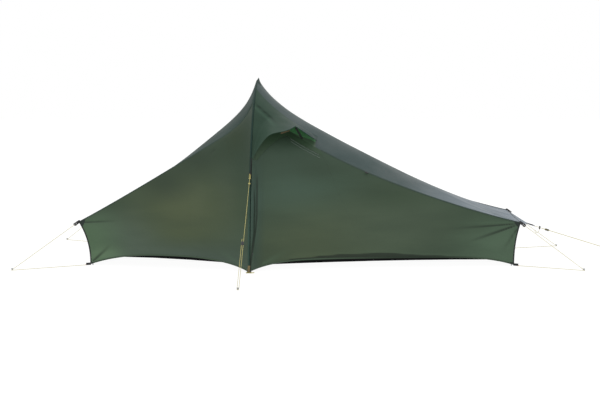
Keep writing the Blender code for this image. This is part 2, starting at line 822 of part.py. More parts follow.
def inner_stations():
    left = spread(-INNER_HEAD_REACH + INNER_END_SLOPE, INNER_DOOR_LEFT, INNER_END_STEPS)
    middle = spread(INNER_DOOR_LEFT, INNER_DOOR_RIGHT, INNER_DOOR_STEPS)
    right = spread(INNER_DOOR_RIGHT, INNER_FOOT_REACH - INNER_END_SLOPE, INNER_END_STEPS)
    return left + middle[1:] + right[1:]


def grid_normals(points):
    """Unit normals of a grid, averaged over the cells around each point, facing the inside."""
    columns, rows = len(points), len(points[0])
    normals = []
    for column in range(columns):
        line = []
        for row in range(rows):
            ahead = points[min(column + 1, columns - 1)][row] - points[max(column - 1, 0)][row]
            up = points[column][min(row + 1, rows - 1)] - points[column][max(row - 1, 0)]
            line.append(up.cross(ahead).normalized())
        normals.append(line)
    return normals


def make_inner_tent(netting, groundsheet):
    xs = inner_stations()
    columns = [inner_section(-INNER_HEAD_REACH, 0.0)]
    columns += [inner_section(x) for x in xs]
    columns.append(inner_section(INNER_FOOT_REACH, 0.0))
    normals = grid_normals(columns)
    half = INNER_THICKNESS / 2
    inside = [[p + n * half for p, n in zip(*pair)] for pair in zip(columns, normals)]
    outside = [[p - n * half for p, n in zip(*pair)] for pair in zip(columns, normals)]
    first = 1 + INNER_END_STEPS
    last = first + INNER_DOOR_STEPS
    door_cells = {(column, row) for column in range(first, last) for row in (1, 2)}
    canopy = grid_shell(
        "inner_canopy", inside, outside, netting,
        keep=lambda column, row: (column, row) not in door_cells,
    )
    combine(canopy, make_hanger(columns[first][CROWN_ROW], netting), "UNION")
    make_inner_door(netting, columns, normals, first, last)
    make_floor(groundsheet)


def make_hanger(crown, netting):
    """The strap that hangs the canopy's crown from the roof, just behind the arch."""
    reach, half = abs(crown.x), ridge_half(FOOT, share_along(FOOT, abs(crown.x), 1.0))
    roof = min(
        roof_point(FOOT, reach + dx, (crown.y + dy) / half).z
        for dx in (-HANGER_THICKNESS / 2, HANGER_THICKNESS / 2)
        for dy in (-HANGER_WIDTH / 2, HANGER_WIDTH / 2)
    )
    top, low = roof - FLY_THICKNESS - GAP, crown.z - HANGER_OVERLAP
    centre = Vector((crown.x, crown.y, (top + low) / 2))
    size = (HANGER_THICKNESS, HANGER_WIDTH, top - low)
    return box("helper_hanger", size, netting, Matrix.Translation(centre))


def make_inner_door(netting, columns, normals, first, last):
    patch = [[point.copy() for point in column[1:4]] for column in columns[first:last + 1]]
    middle = patch[1][1]
    patch_reach = (patch[0][1] - middle).length
    shrunk = []
    for column in patch:
        shrunk.append([middle.lerp(point, 1 - INNER_DOOR_GAP / patch_reach) for point in column])
    half = INNER_THICKNESS / 2
    rows = [column[1:4] for column in normals[first:last + 1]]
    inside = [[p + n * half for p, n in zip(*pair)] for pair in zip(shrunk, rows)]
    outside = [[p - n * half for p, n in zip(*pair)] for pair in zip(shrunk, rows)]
    grid_shell("inner_door", inside, outside, netting, origin=inside[-1][0])


def make_floor(groundsheet):
    """The bathtub floor: a flat sheet with raised, slightly flared walls all round."""
    xs = [-INNER_HEAD_REACH] + inner_stations() + [INNER_FOOT_REACH]
    top, low = [], []
    for index, x in enumerate(xs):
        length = INNER_HEAD_REACH if x < 0 else INNER_FOOT_REACH
        end = INNER_BACK_HEAD if x < 0 else INNER_BACK_FOOT
        near, back = inner_near(x, length), inner_back(x, length, end)
        base_near, base_back = near + FLOOR_FLARE, back - FLOOR_FLARE
        edge = -1 if index == 0 else 1 if index == len(xs) - 1 else 0
        rim, sheet = FLOOR_WALL_HEIGHT, FLOOR_THICKNESS
        if edge:
            heights = [rim] * 5
        else:
            heights = [rim, sheet, sheet, sheet, rim]
        ys = [near, base_near, (base_near + base_back) / 2, base_back, back]
        shift = [-sheet, -sheet, 0, sheet, sheet]
        top.append([Vector((x, y, z)) for y, z in zip(ys, heights)])
        lower = []
        for y, z, move in zip(ys, heights, shift):
            drop = 0.0 if z == sheet else z
            lower.append(Vector((x + edge * sheet, y + move, drop)))
        low.append(lower)
    grid_shell("inner_floor", top, low, groundsheet)


# Guy lines, pegs and fittings


def cord(name, points, paint):
    """A round cord along a list of points, with closed ends."""
    curve = bpy.data.curves.new(name, "CURVE")
    curve.dimensions = "3D"
    spline = curve.splines.new("POLY")
    spline.points.add(len(points) - 1)
    for target, point in zip(spline.points, points):
        target.co = (*point, 1.0)
    curve.bevel_depth = CORD_RADIUS
    curve.bevel_resolution = 2
    curve.use_fill_caps = True
    curve.materials.append(paint)
    made = bpy.data.objects.new(name, curve)
    bpy.context.scene.collection.objects.link(made)
    return made


def peg(name, place_xy, metal):
    """The part of a peg that stands above the ground: a shaft with a broad head."""
    build = bmesh.new()
    shaft = PEG_HEIGHT - PEG_HEAD_THICKNESS
    profile = [(0, GAP), (PEG_RADIUS, GAP), (PEG_RADIUS, shaft), (PEG_HEAD_RADIUS, shaft),
               (PEG_HEAD_RADIUS, PEG_HEIGHT), (0, PEG_HEIGHT)]
    verts = [build.verts.new((radius, 0, height)) for radius, height in profile]
    edges = [build.edges.new(pair) for pair in zip(verts, verts[1:])]
    bmesh.ops.spin(
        build, geom=verts + edges, axis=(0, 0, 1), cent=(0, 0, 0), steps=10, angle=2 * math.pi
    )
    bmesh.ops.remove_doubles(build, verts=build.verts, dist=0.00001)
    bmesh.ops.translate(build, vec=(*place_xy, 0), verts=build.verts)
    place(name, build, metal, origin=(*place_xy, 0))


def straight(start, end, steps):
    start, end = Vector(start), Vector(end)
    return [start.lerp(end, step / steps) for step in range(steps + 1)]


def bend_round(centre, from_angle, to_angle, steps, height):
    points = []
    for step in range(steps + 1):
        turn = mix(from_angle, to_angle, step / steps)
        points.append(Vector((
            centre.x + CORD_BEND * math.cos(turn), centre.y + CORD_BEND * math.sin(turn), height
        )))
    return points


def double_guy(name, attach, peg_reach, across, slider_from_peg, paints):
    """A guy line that runs through its slider, round a peg, and back up to the slider."""
    rope, plastic, metal = paints
    attach, across = Vector(attach), Vector(across)
    away = Vector((across.y, -across.x, 0))
    low = CORD_RADIUS + GAP
    centre = away * peg_reach + across * (attach.dot(across) - CORD_BEND)
    near = centre + across * CORD_BEND + Vector((0, 0, low))
    far = centre - across * CORD_BEND + Vector((0, 0, low))
    uphill = (attach - near).normalized()
    start = math.atan2(across.y, across.x)
    turn = bend_round(centre, start, start - math.pi, 4, low)
    back = straight(far, far + uphill * (slider_from_peg + SLIDER_TAIL), 3)
    points = straight(attach, near, 4)[:-1] + turn + back[1:]
    cord(f"guy_line_{name}", points, rope)
    peg(f"peg_{name}", (centre.x, centre.y), metal)
    middle = centre + Vector((0, 0, low)) + uphill * slider_from_peg
    holder = frame_along(middle, uphill, across)
    slider = box(
        f"guy_slider_{name}", (SLIDER_LENGTH, SLIDER_WIDTH, SLIDER_DEPTH), plastic, holder, bevel=SLIDER_BEVEL
    )
    for tag, side in (("a", 1), ("b", -1)):
        hole = middle + across * CORD_BEND * side
        combine(slider, rod(
            f"cutter_{name}_{tag}", hole - uphill * SLIDER_LENGTH, hole + uphill * SLIDER_LENGTH,
            CORD_RADIUS + GAP, plastic, sides=10,
        ))


def make_guys(rope, plastic, metal):
    paints = (rope, plastic, metal)
    half = arch_half_width(FRONT_GUY_HEIGHT) + SLEEVE_OUTER
    for name, facing in (("front", -1), ("back", 1)):
        across = Vector((-facing, 0, 0))
        attach = Vector((0, facing * (half + CORD_RADIUS + GAP), FRONT_GUY_HEIGHT))
        double_guy(name, attach, FRONT_GUY_REACH, across, FRONT_SLIDER_FROM_PEG, paints)
    tip = beak_tip()
    hook_start = tip + Vector((GAP + HOOK_RADIUS * HOOK_DROP / HOOK_LENGTH, 0, 0))
    hook_end = hook_start + Vector((HOOK_LENGTH, 0, -HOOK_DROP))
    rod("guy_hook_end", hook_start, hook_end, HOOK_RADIUS, plastic)
    attach = hook_end + Vector((2 * GAP, 0, 0))
    double_guy("end", attach, END_GUY_REACH, Vector((0, 1, 0)), END_SLIDER_FROM_PEG, paints)


def top_corner(side, facing):
    return Vector((side.sign * (side.length + side.lean), facing * side.top_half, CORNER_HEIGHT))


def low_corner(side, facing):
    return Vector((side.sign * side.length, facing * side.base_half, HEM_CLEARANCE))


def make_corners(rope, plastic, webbing, metal):
    for side in (HEAD, FOOT):
        for name, facing in (("front", -1), ("back", 1)):
            tag = f"{side.name}_{name}"
            centre = Vector((side.sign * side.peg_reach, facing * side.peg_half, 0))
            peg(f"peg_{tag}", (centre.x, centre.y), metal)
            top, low = top_corner(side, facing), low_corner(side, facing)
            clear = Vector((side.sign * (2 * GAP + 1.5 * FLY_THICKNESS), 0, 0))

            pull = (centre - top).normalized()
            across = pull.cross(Vector((0, 0, 1))).normalized()
            start = top + clear + pull * (BUCKLE_LENGTH / 2 + CORNER_GAP)
            holder = frame_along(start, pull, across)
            buckle = box(
                f"corner_buckle_{tag}", (BUCKLE_LENGTH, BUCKLE_WIDTH, BUCKLE_THICKNESS),
                plastic, holder, bevel=BUCKLE_BEVEL,
            )
            slot = box(
                f"cutter_slot_{tag}",
                (BUCKLE_SLOT_LENGTH, BUCKLE_SLOT_WIDTH, 3 * BUCKLE_THICKNESS), plastic, holder,
            )
            combine(buckle, slot)

            level = Vector((centre.x - low.x, centre.y - low.y, 0)).normalized()
            tab_middle = low + clear + level * (TAB_LENGTH / 2 + CORNER_GAP)
            tab_middle.z = TAB_THICKNESS / 2 + GAP
            tab_frame = frame_along(tab_middle, level, level.cross(Vector((0, 0, 1))))
            box(f"corner_tab_{tag}", (TAB_LENGTH, TAB_WIDTH, TAB_THICKNESS), webbing, tab_frame)

            corner_cord(tag, centre, start + pull * (BUCKLE_LENGTH / 2 + GAP), tab_middle
                        + level * (TAB_LENGTH / 2 + GAP) + Vector((0, 0, CORD_RADIUS)), rope)


def corner_cord(tag, centre, top, low, rope):
    """A cord from the top corner's buckle round the peg and back to the bottom corner's tab."""
    height = CORD_RADIUS + GAP
    toward_top = math.atan2(top.y - centre.y, top.x - centre.x)
    toward_low = math.atan2(low.y - centre.y, low.x - centre.x)
    turn = (toward_low - toward_top + math.pi) % (2 * math.pi) - math.pi
    hand = -1 if turn > 0 else 1
    start = toward_top + hand * math.pi / 2
    end = toward_low - hand * math.pi / 2
    sweep = (end - start) * hand % (2 * math.pi) * hand
    bend = bend_round(centre, start, start + sweep, 4, height)
    points = straight(top, bend[0], 4)[:-1] + bend + straight(bend[-1], low, 3)[1:]
    cord(f"corner_line_{tag}", points, rope)


# Small fittings on the door


def wall_frame(reach, rise):
    """A point on the foot side's front wall, with its outward normal and its uphill direction."""
    step = 0.005
    seat = wall_point(FOOT, -1, reach, rise)
    up = (wall_point(FOOT, -1, reach, rise + step) - seat).normalized()
    along = (wall_point(FOOT, -1, reach + step, rise) - wall_point(FOOT, -1, reach - step, rise))
    out = along.cross(up).normalized()
    return seat, out, up


def on_tape(height):
    return wall_frame(
        (PANEL_START + TAPE_END) / 2, (height - HEM_CLEARANCE) / (RIDGE_HEIGHT - HEM_CLEARANCE)
    )


def zip_arc_centre():
    """The centre of the arc that the zip's slider follows up the curved tape."""
    middle = (ZIP_SLIDER_HEIGHT + ZIP_SLIDER_TOP) / 2
    a, b, c = (on_tape(height)[0] for height in (ZIP_SLIDER_HEIGHT, middle, ZIP_SLIDER_TOP))
    scale = 2 * (a.y * (b.z - c.z) + b.y * (c.z - a.z) + c.y * (a.z - b.z))
    squares = [p.y**2 + p.z**2 for p in (a, b, c)]
    y = squares[0] * (b.z - c.z) + squares[1] * (c.z - a.z) + squares[2] * (a.z - b.z)
    z = squares[0] * (c.y - b.y) + squares[1] * (a.y - c.y) + squares[2] * (b.y - a.y)
    return Vector((a.x, y / scale, z / scale))


def make_zip_fittings(metal):
    """The door zip's slider, on the tape, and the pull that hangs from it."""
    seat, out, up = on_tape(ZIP_SLIDER_HEIGHT)
    across = out.cross(up)
    middle = seat + out * (FLY_THICKNESS / 2 + ZIP_SLIDER_STAND_OFF + ZIP_SLIDER_DEPTH / 2)
    holder = frame_along(middle, up, across)
    size = (ZIP_SLIDER_LENGTH, ZIP_SLIDER_WIDTH, ZIP_SLIDER_DEPTH)
    slider = box("zip_slider", size, metal, holder, bevel=ZIP_SLIDER_BEVEL)
    slider.data.transform(Matrix.Translation(middle - zip_arc_centre()))
    slider.location = zip_arc_centre()
    pivot = middle + out * (ZIP_SLIDER_DEPTH / 2 + GAP + ZIP_PULL_THICKNESS / 2)
    pull_frame = frame_along(pivot - up * ZIP_PULL_LENGTH / 2, up, across)
    pull = box(
        "zip_pull", (ZIP_PULL_LENGTH, ZIP_PULL_WIDTH, ZIP_PULL_THICKNESS), metal, pull_frame
    )
    pull.data.transform(Matrix.Translation(pull_frame.translation - pivot))
    pull.location = pivot


def toggle_rise():
    """The toggle's place up the wall, from its distance below the ridge."""
    share = share_along(FOOT, TOGGLE_REACH, 1.0)
    return 1 - TOGGLE_BELOW_RIDGE / (ridge_height(FOOT, share) - hem_height(FOOT, share))


def make_toggle(plastic):
    """The door's tie-back toggle, on the ridge behind the hinge line."""
    seat, _, _ = wall_frame(TOGGLE_REACH, toggle_rise())
    ahead, _, _ = wall_frame(TOGGLE_REACH + TOGGLE_LENGTH, toggle_rise())
    out = outward(FOOT)(seat)
    middle = seat + out * (FLY_THICKNESS / 2 + TOGGLE_RADIUS + TOGGLE_STAND_OFF)
    half = (ahead - seat).normalized() * TOGGLE_LENGTH / 2
    toggle = rod("door_toggle", middle - half, middle + half, TOGGLE_RADIUS, plastic, origin=middle)
    post_foot = seat + out * (FLY_THICKNESS / 2 + 3 * GAP)
    post = rod("helper_toggle_post", post_foot, middle, TOGGLE_POST_RADIUS, plastic)
    combine(toggle, post, "UNION")


def main():
    clear_scene()
    green = material("fly_cloth", (0.045, 0.075, 0.055), 0.55)
    dark = material("netting_cloth", (0.015, 0.018, 0.018), 0.8)
    bright = material("vent_netting", (0.10, 0.30, 0.10), 0.7)
    black = material("black_plastic", (0.012, 0.012, 0.012), 0.4)
    alloy = material("pole_alloy", (0.55, 0.56, 0.58), 0.35, 1.0)
    steel = material("peg_alloy", (0.45, 0.46, 0.47), 0.4, 1.0)
    rope = material("guy_cord", (0.78, 0.66, 0.22), 0.7)
    web = material("webbing", (0.02, 0.02, 0.02), 0.85)
    elastic = material("shock_cord", (0.6, 0.6, 0.6), 0.8)
    make_walls(green)
    make_front_foot_wall(green)
    make_zip_tape(dark)
    make_door(green)
    make_roofs(green, bright)
    make_ends(green)
    make_beak(green)
    make_hood(green)
    make_strut(black)
    make_pole(alloy, elastic, green)
    make_foot_plates(web)
    make_corner_struts(alloy)
    make_inner_tent(dark, black)
    make_guys(rope, black, steel)
    make_corners(rope, black, web, steel)
    make_zip_fittings(black)
    make_toggle(black)


main()
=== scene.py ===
"""The dressed model of a one-person backpacking tent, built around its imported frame.

Units are metres, +X runs from the head end to the foot end, -Y is the door side and +Z is up.
"""

import math

import bmesh
import bpy
from mathutils import Matrix, Vector, noise


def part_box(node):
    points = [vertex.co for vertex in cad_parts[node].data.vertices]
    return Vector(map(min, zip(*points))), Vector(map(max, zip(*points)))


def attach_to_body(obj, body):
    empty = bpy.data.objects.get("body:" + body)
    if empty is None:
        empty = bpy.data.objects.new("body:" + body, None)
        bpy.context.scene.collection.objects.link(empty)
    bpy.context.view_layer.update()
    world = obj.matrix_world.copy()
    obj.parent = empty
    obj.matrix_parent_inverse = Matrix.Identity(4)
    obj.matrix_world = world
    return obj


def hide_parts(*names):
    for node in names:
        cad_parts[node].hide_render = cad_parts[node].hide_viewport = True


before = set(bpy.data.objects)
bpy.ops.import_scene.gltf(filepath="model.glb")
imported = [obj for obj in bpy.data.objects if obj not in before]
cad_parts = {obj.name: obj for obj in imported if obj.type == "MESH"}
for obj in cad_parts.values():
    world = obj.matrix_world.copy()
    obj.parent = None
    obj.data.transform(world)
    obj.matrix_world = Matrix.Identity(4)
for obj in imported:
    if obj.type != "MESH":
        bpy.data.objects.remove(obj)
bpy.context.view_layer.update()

ROOT = "pitched_tent"
DOOR_BODY = "fly_door_panel"
FACES = (("front", -1), ("back", 1))
UP = Vector((0, 0, 1))

# Sizes shared with the solids
ARCH_POWER = 1.8
SLEEVE_OUTER = 0.00555
ARCH_TOP = 1.000 - SLEEVE_OUTER
ARCH_HALF = 0.566
RIDGE_HEIGHT = 0.875
CORNER_HEIGHT = 0.234
HEM_CLEARANCE = 0.005
EDGE_CURVE = 2.2
PULL_REACH = 0.06
GAP = 0.0003
SEAM_GAP = 0.0008
SOLID_THICKNESS = 0.0018
PANEL_START = SLEEVE_OUTER + GAP
TAPE_END = PANEL_START + 0.016
DOOR_TOP_REACH = 0.364
DOOR_HEM_REACH = 0.620
DOOR_TOP_DROP = 0.045
DOOR_HOOD_CLEARANCE = 0.044
HOOD_PEAK = Vector((0.236, -0.400, 0.755))
HOOD_END_X = 0.342
HOOD_END_Z = 0.672
HOOD_CORNER_Z = 0.575
HOOD_EDGE_POWER = 2.8
HOOD_CENTRE_Z = 0.350
VENT_EDGE = -0.6

# Sizes of the cloth as it is drawn
CLOTH = 0.0007
TUCK = 0.0022


class Side:
    def __init__(self, name, sign, length, lean, base, top, hem, power, pull, ridge, crown):
        self.name, self.sign, self.length, self.lean = name, sign, length, lean
        self.base_half, self.top_half = base / 2, top / 2
        self.hem_rise, self.hem_power, self.pull = hem, power, pull
        self.ridge_fall, self.crown_fall = ridge, crown


HEAD = Side("head", -1, 0.884, 0.064, 0.740, 0.698, 0.060, 2.6, 0.22,
            (0.139, 0.050, 0.071), (0.160, 0.055, 0.466))
FOOT = Side("foot", 1, 1.406, 0.032, 0.586, 0.580, 0.046, 5.0, 0.30,
            (0.305, 0.272, 0.187), (0.149, 0.081, 0.314))


def mix(start, end, share):
    return start + (end - start) * share


def clamp(value, low=0.0):
    return max(low, min(1.0, value))


def smooth(value):
    value = clamp(value)
    return value * value * (3 - 2 * value)


def spread(start, end, steps):
    return [mix(start, end, step / steps) for step in range(steps + 1)]


def turns(count):
    """Angles evenly round a circle."""
    return [math.tau * step / count for step in range(count)]


# The surface of the flysheet


def arch_half_width(height):
    return ARCH_HALF * (1 - (height / ARCH_TOP) ** ARCH_POWER) ** (1 / ARCH_POWER)


def arch_height(across):
    return ARCH_TOP * (1 - (abs(across) / ARCH_HALF) ** ARCH_POWER) ** (1 / ARCH_POWER)


def fall(share, dip, dip_reach, droop):
    return (1 - share) * (1 - dip * (1 - math.exp(-share / dip_reach)) - droop * share**2)


def ridge_height(side, share):
    return CORNER_HEIGHT + (RIDGE_HEIGHT - CORNER_HEIGHT) * fall(share, *side.ridge_fall)


def arch_share(side, share):
    """How much of a wall's width is the arch's: it is drawn in fast beside the pole, then evenly."""
    return (1 - share) * (1 - side.pull * (1 - math.exp(-share / PULL_REACH)))


def ridge_half(side, share):
    return mix(side.top_half, arch_half_width(RIDGE_HEIGHT), arch_share(side, share))


def hem_height(side, share):
    return HEM_CLEARANCE + side.hem_rise * (1 - abs(2 * share - 1) ** side.hem_power)


def wall_tall(side, share):
    return ridge_height(side, share) - hem_height(side, share)


def end_reach(side, rise):
    return side.length + side.lean * rise**EDGE_CURVE


def share_along(side, reach, rise):
    return clamp((reach - PANEL_START) / (end_reach(side, rise) - PANEL_START))


def wall_point(side, facing, reach, rise):
    share = share_along(side, reach, rise)
    height = mix(hem_height(side, share), ridge_height(side, share), rise)
    at_arch = arch_half_width(mix(HEM_CLEARANCE, RIDGE_HEIGHT, rise))
    at_end = mix(side.base_half, side.top_half, rise)
    return Vector((side.sign * reach, facing * mix(at_end, at_arch, arch_share(side, share)), height))


def roof_point(side, reach, across):
    share = share_along(side, reach, 1.0)
    at_arch = arch_height(across * arch_half_width(RIDGE_HEIGHT))
    ridge, crown = fall(share, *side.ridge_fall), fall(share, *side.crown_fall)
    height = CORNER_HEIGHT + (at_arch - CORNER_HEIGHT) * mix(crown, ridge, across**2)
    return Vector((side.sign * reach, across * ridge_half(side, share), height))


def outward(side, point):
    share = share_along(side, abs(point.x), 1.0)
    half = mix(ARCH_HALF, side.base_half, share)
    crown = CORNER_HEIGHT + (ARCH_TOP - CORNER_HEIGHT) * fall(share, *side.crown_fall)
    return Vector((0, point.y / half**2, point.z / crown**2)).normalized()


def hinge_reach(rise):
    """The door's hinge edge, which is straight in height, so that its reach is found in steps."""
    low = wall_point(FOOT, -1, DOOR_HEM_REACH, 0).z
    high = wall_point(FOOT, -1, DOOR_TOP_REACH, 1).z
    reach = mix(DOOR_HEM_REACH, DOOR_TOP_REACH, rise)
    for _ in range(8):
        height = wall_point(FOOT, -1, reach, rise).z
        reach = mix(DOOR_HEM_REACH, DOOR_TOP_REACH, (height - low) / (high - low))
    return reach


HINGE_STEPS = 60
HINGE = [hinge_reach(step / HINGE_STEPS) for step in range(HINGE_STEPS + 1)]


def hinge_at(rise):
    place = clamp(rise) * HINGE_STEPS
    index = min(HINGE_STEPS - 1, int(place))
    return mix(HINGE[index], HINGE[index + 1], place - index)


def hood_edge(reach):
    """The solid hood's free edge, from the arch up to its peak and down to the ridge."""
    corner = Vector((PANEL_START, -arch_half_width(HOOD_CORNER_Z), HOOD_CORNER_Z))
    end = Vector((HOOD_END_X, wall_point(FOOT, -1, HOOD_END_X, 1).y, HOOD_END_Z))
    if reach <= HOOD_PEAK.x:
        along = (reach - PANEL_START) / (HOOD_PEAK.x - PANEL_START)
        point = corner.lerp(HOOD_PEAK, along)
        point.z = mix(corner.z, HOOD_PEAK.z, 1 - (1 - along) ** HOOD_EDGE_POWER)
        return point
    return HOOD_PEAK.lerp(end, (reach - HOOD_PEAK.x) / (HOOD_END_X - HOOD_PEAK.x))


def door_top_rise(reach):
    share = share_along(FOOT, reach, 1.0)
    edge = hood_edge(min(reach, HOOD_END_X)).z - DOOR_HOOD_CLEARANCE
    return min(1 - DOOR_TOP_DROP, (edge - hem_height(FOOT, share)) / wall_tall(FOOT, share))


def to_edges(side, reach, rise):
    """How far a wall's point is from its hem, ridge, arch and end, in metres."""
    share = share_along(side, reach, rise)
    tall = wall_tall(side, share)
    return rise * tall, (1 - rise) * tall, share * side.length, (1 - share) * side.length


# Relief: tension folds, billow and puckers, in metres outwards


def crease(a, b, start, end, width, height):
    """A soft fold from start to end, fading along its length and widening."""
    run = (end[0] - start[0], end[1] - start[1])
    length = math.hypot(*run)
    along = ((a - start[0]) * run[0] + (b - start[1]) * run[1]) / length**2
    if not 0 < along < 1:
        return 0.0
    off = ((a - start[0]) * run[1] - (b - start[1]) * run[0]) / length
    reach = width * (0.35 + 1.2 * along)
    return height * smooth(along / 0.15) * (1 - along) ** 0.9 * math.exp(-((off / reach) ** 2))


def folded(folds, a, b, height=0.0):
    """A height with the folds of a list added to it."""
    for fold in folds:
        height += crease(a, b, *fold)
    return height


# Each fold's start and end as (x, z) on a wall or (x, y) on the roof, its width and its height
WALL_FOLDS = {
    ("foot", -1): [
        ((1.440, 0.232), (1.020, 0.200), 0.008, -0.0042),
        ((1.440, 0.236), (1.060, 0.232), 0.008, 0.0035),
        ((1.438, 0.228), (1.120, 0.120), 0.010, -0.0044),
        ((1.438, 0.224), (1.200, 0.070), 0.012, 0.0036),
        ((1.432, 0.218), (1.330, 0.060), 0.010, -0.0030),
        ((1.405, 0.010), (1.220, 0.130), 0.012, 0.0030),
        ((0.012, 0.870), (0.130, 0.560), 0.010, 0.0020),
        ((0.030, 0.020), (0.220, 0.110), 0.016, 0.0040),
        ((0.030, 0.015), (0.330, 0.050), 0.010, -0.0030),
    ],
    ("head", -1): [
        ((-0.946, 0.232), (-0.700, 0.246), 0.008, -0.0040),
        ((-0.944, 0.228), (-0.760, 0.160), 0.012, 0.0026),
        ((-0.884, 0.010), (-0.760, 0.125), 0.009, -0.0050),
        ((-0.884, 0.008), (-0.700, 0.075), 0.012, 0.0032),
        ((-0.190, 0.640), (-0.330, 0.520), 0.010, -0.0022),
        ((-0.220, 0.610), (-0.380, 0.480), 0.009, 0.0020),
        ((-0.012, 0.020), (-0.200, 0.120), 0.016, 0.0036),
    ],
}
WALL_FOLDS["foot", 1] = [fold for fold in WALL_FOLDS["foot", -1] if fold[0][0] > 0.02]
WALL_FOLDS["head", 1] = WALL_FOLDS["head", -1][:6]

ROOF_FOLDS = {
    "foot": [
        ((1.440, -0.286), (1.020, -0.080), 0.014, 0.0050),
        ((1.440, -0.280), (1.100, 0.020), 0.016, -0.0046),
        ((1.440, 0.286), (1.020, 0.080), 0.014, 0.0050),
        ((1.440, 0.280), (1.100, -0.020), 0.016, -0.0046),
        ((1.438, 0.000), (1.150, 0.000), 0.030, -0.0030),
    ],
    "head": [
        ((-0.946, -0.345), (-0.640, -0.120), 0.014, 0.0046),
        ((-0.946, 0.345), (-0.640, 0.120), 0.014, 0.0046),
        ((-0.946, -0.335), (-0.720, 0.010), 0.016, -0.0040),
        ((-0.946, 0.335), (-0.720, -0.010), 0.016, -0.0040),
    ],
}


def pucker(along, off, seed):
    """Small gathers square to a seam, at a distance off from it."""
    if off > 0.09:
        return 0.0
    wave = noise.noise(Vector((along * 34, seed, off * 6)))
    return 0.0011 * wave * math.exp(-off / 0.026) * (1 - math.exp(-off / 0.004))


def billow(point, scale=3.0, seed=0.0):
    return noise.noise(Vector((point.x * scale + seed, point.y * scale * 0.6, point.z * scale)))


# Height above the hem of the band that turns in under the foot walls, by reach
HEM_BAND = [
    (0.05, 0.0), (0.14, 0.008), (0.27, 0.018), (0.50, 0.029), (0.69, 0.033), (0.95, 0.017), (1.19, 0.0),
]


def hem_band(side, reach, rise):
    """How far a point lies below the band's upper fold, and the height of that fold, in metres."""
    if side is FOOT:
        above = to_edges(side, reach, rise)[0]
        for (near, low), (far, high) in zip(HEM_BAND, HEM_BAND[1:]):
            if near <= reach < far:
                height = mix(low, high, smooth((reach - near) / (far - near)))
                return height - above, height
    return -1.0, 0.0


def wall_puckers(side, reach, rise, point):
    above, to_ridge, to_arch, to_end = to_edges(side, reach, rise)
    height = pucker(point.x, to_ridge, 3.0) + pucker(point.z, to_arch, 7.0)
    return height + 0.6 * pucker(point.z, to_end, 11.0) + 0.8 * pucker(point.x, above, 17.0)


def wall_relief(side, facing, reach, rise, point):
    _, to_ridge, to_arch, to_end = to_edges(side, reach, rise)
    fade = smooth(to_ridge / 0.02) * smooth(to_arch / 0.03) * smooth(to_end / 0.006)
    height = 0.0035 * billow(point) + 0.0012 * billow(point, 9.0, 5.0)
    height += folded(WALL_FOLDS[side.name, facing], point.x, point.z)
    below, band = hem_band(side, reach, rise)
    turned = -0.20 * max(0.0, below) + 0.0012 * math.exp(-((below / 0.004) ** 2)) * smooth(band / 0.01)
    return height * fade + wall_puckers(side, reach, rise, point) + turned


def roof_relief(side, reach, across, point):
    share = share_along(side, reach, 1.0)
    to_ridge, to_arch = (1 - abs(across)) * ridge_half(side, share), share * side.length
    to_end = (1 - share) * side.length
    fade = smooth(to_ridge / 0.04) * smooth(to_arch / 0.04) * smooth(to_end / 0.02)
    height = 0.0022 * billow(point, 3.4, 2.0) + 0.0008 * billow(point, 10.0, 8.0)
    height = folded(ROOF_FOLDS[side.name], point.x, point.y, height)
    return height * fade + pucker(point.x, to_ridge, 3.5) + pucker(point.y, to_arch, 23.0)


def on_wall(side, facing, reach, rise, lift=0.0):
    point = wall_point(side, facing, reach, rise)
    push = wall_relief(side, facing, max(reach, PANEL_START), rise, point) + lift
    return point + outward(side, point) * push


def on_roof(side, reach, across, lift=0.0):
    point = roof_point(side, reach, across)
    push = roof_relief(side, max(reach, PANEL_START), across, point) + lift
    return point + outward(side, point) * push


def wall_fold(side, facing, reach, rise):
    """How deep in a fold a place on a wall is, from -1 in a valley to 1 on a crest, for painted shade
    and highlights.
    It also gives painted shade to the band that turns in under the foot walls, with a painted highlight
    just above its fold.
    """
    point = wall_point(side, facing, reach, rise)
    height = folded(WALL_FOLDS[side.name, facing], point.x, point.z)
    height += 0.8 * wall_puckers(side, reach, rise, point)
    below, band = hem_band(side, reach, rise)
    lit = 0.5 * math.exp(-(((below + 0.004) / 0.003) ** 2)) * smooth(band / 0.01)
    shade = lit - smooth(below / 0.005)
    return clamp(height / 0.0036 + shade, -1.0)


def roof_fold(side, reach, across):
    point = roof_point(side, reach, across)
    return clamp(folded(ROOF_FOLDS[side.name], point.x, point.y) / 0.0045, -1.0)


# Materials


def tint(colour, factor):
    return tuple(factor * c for c in colour)


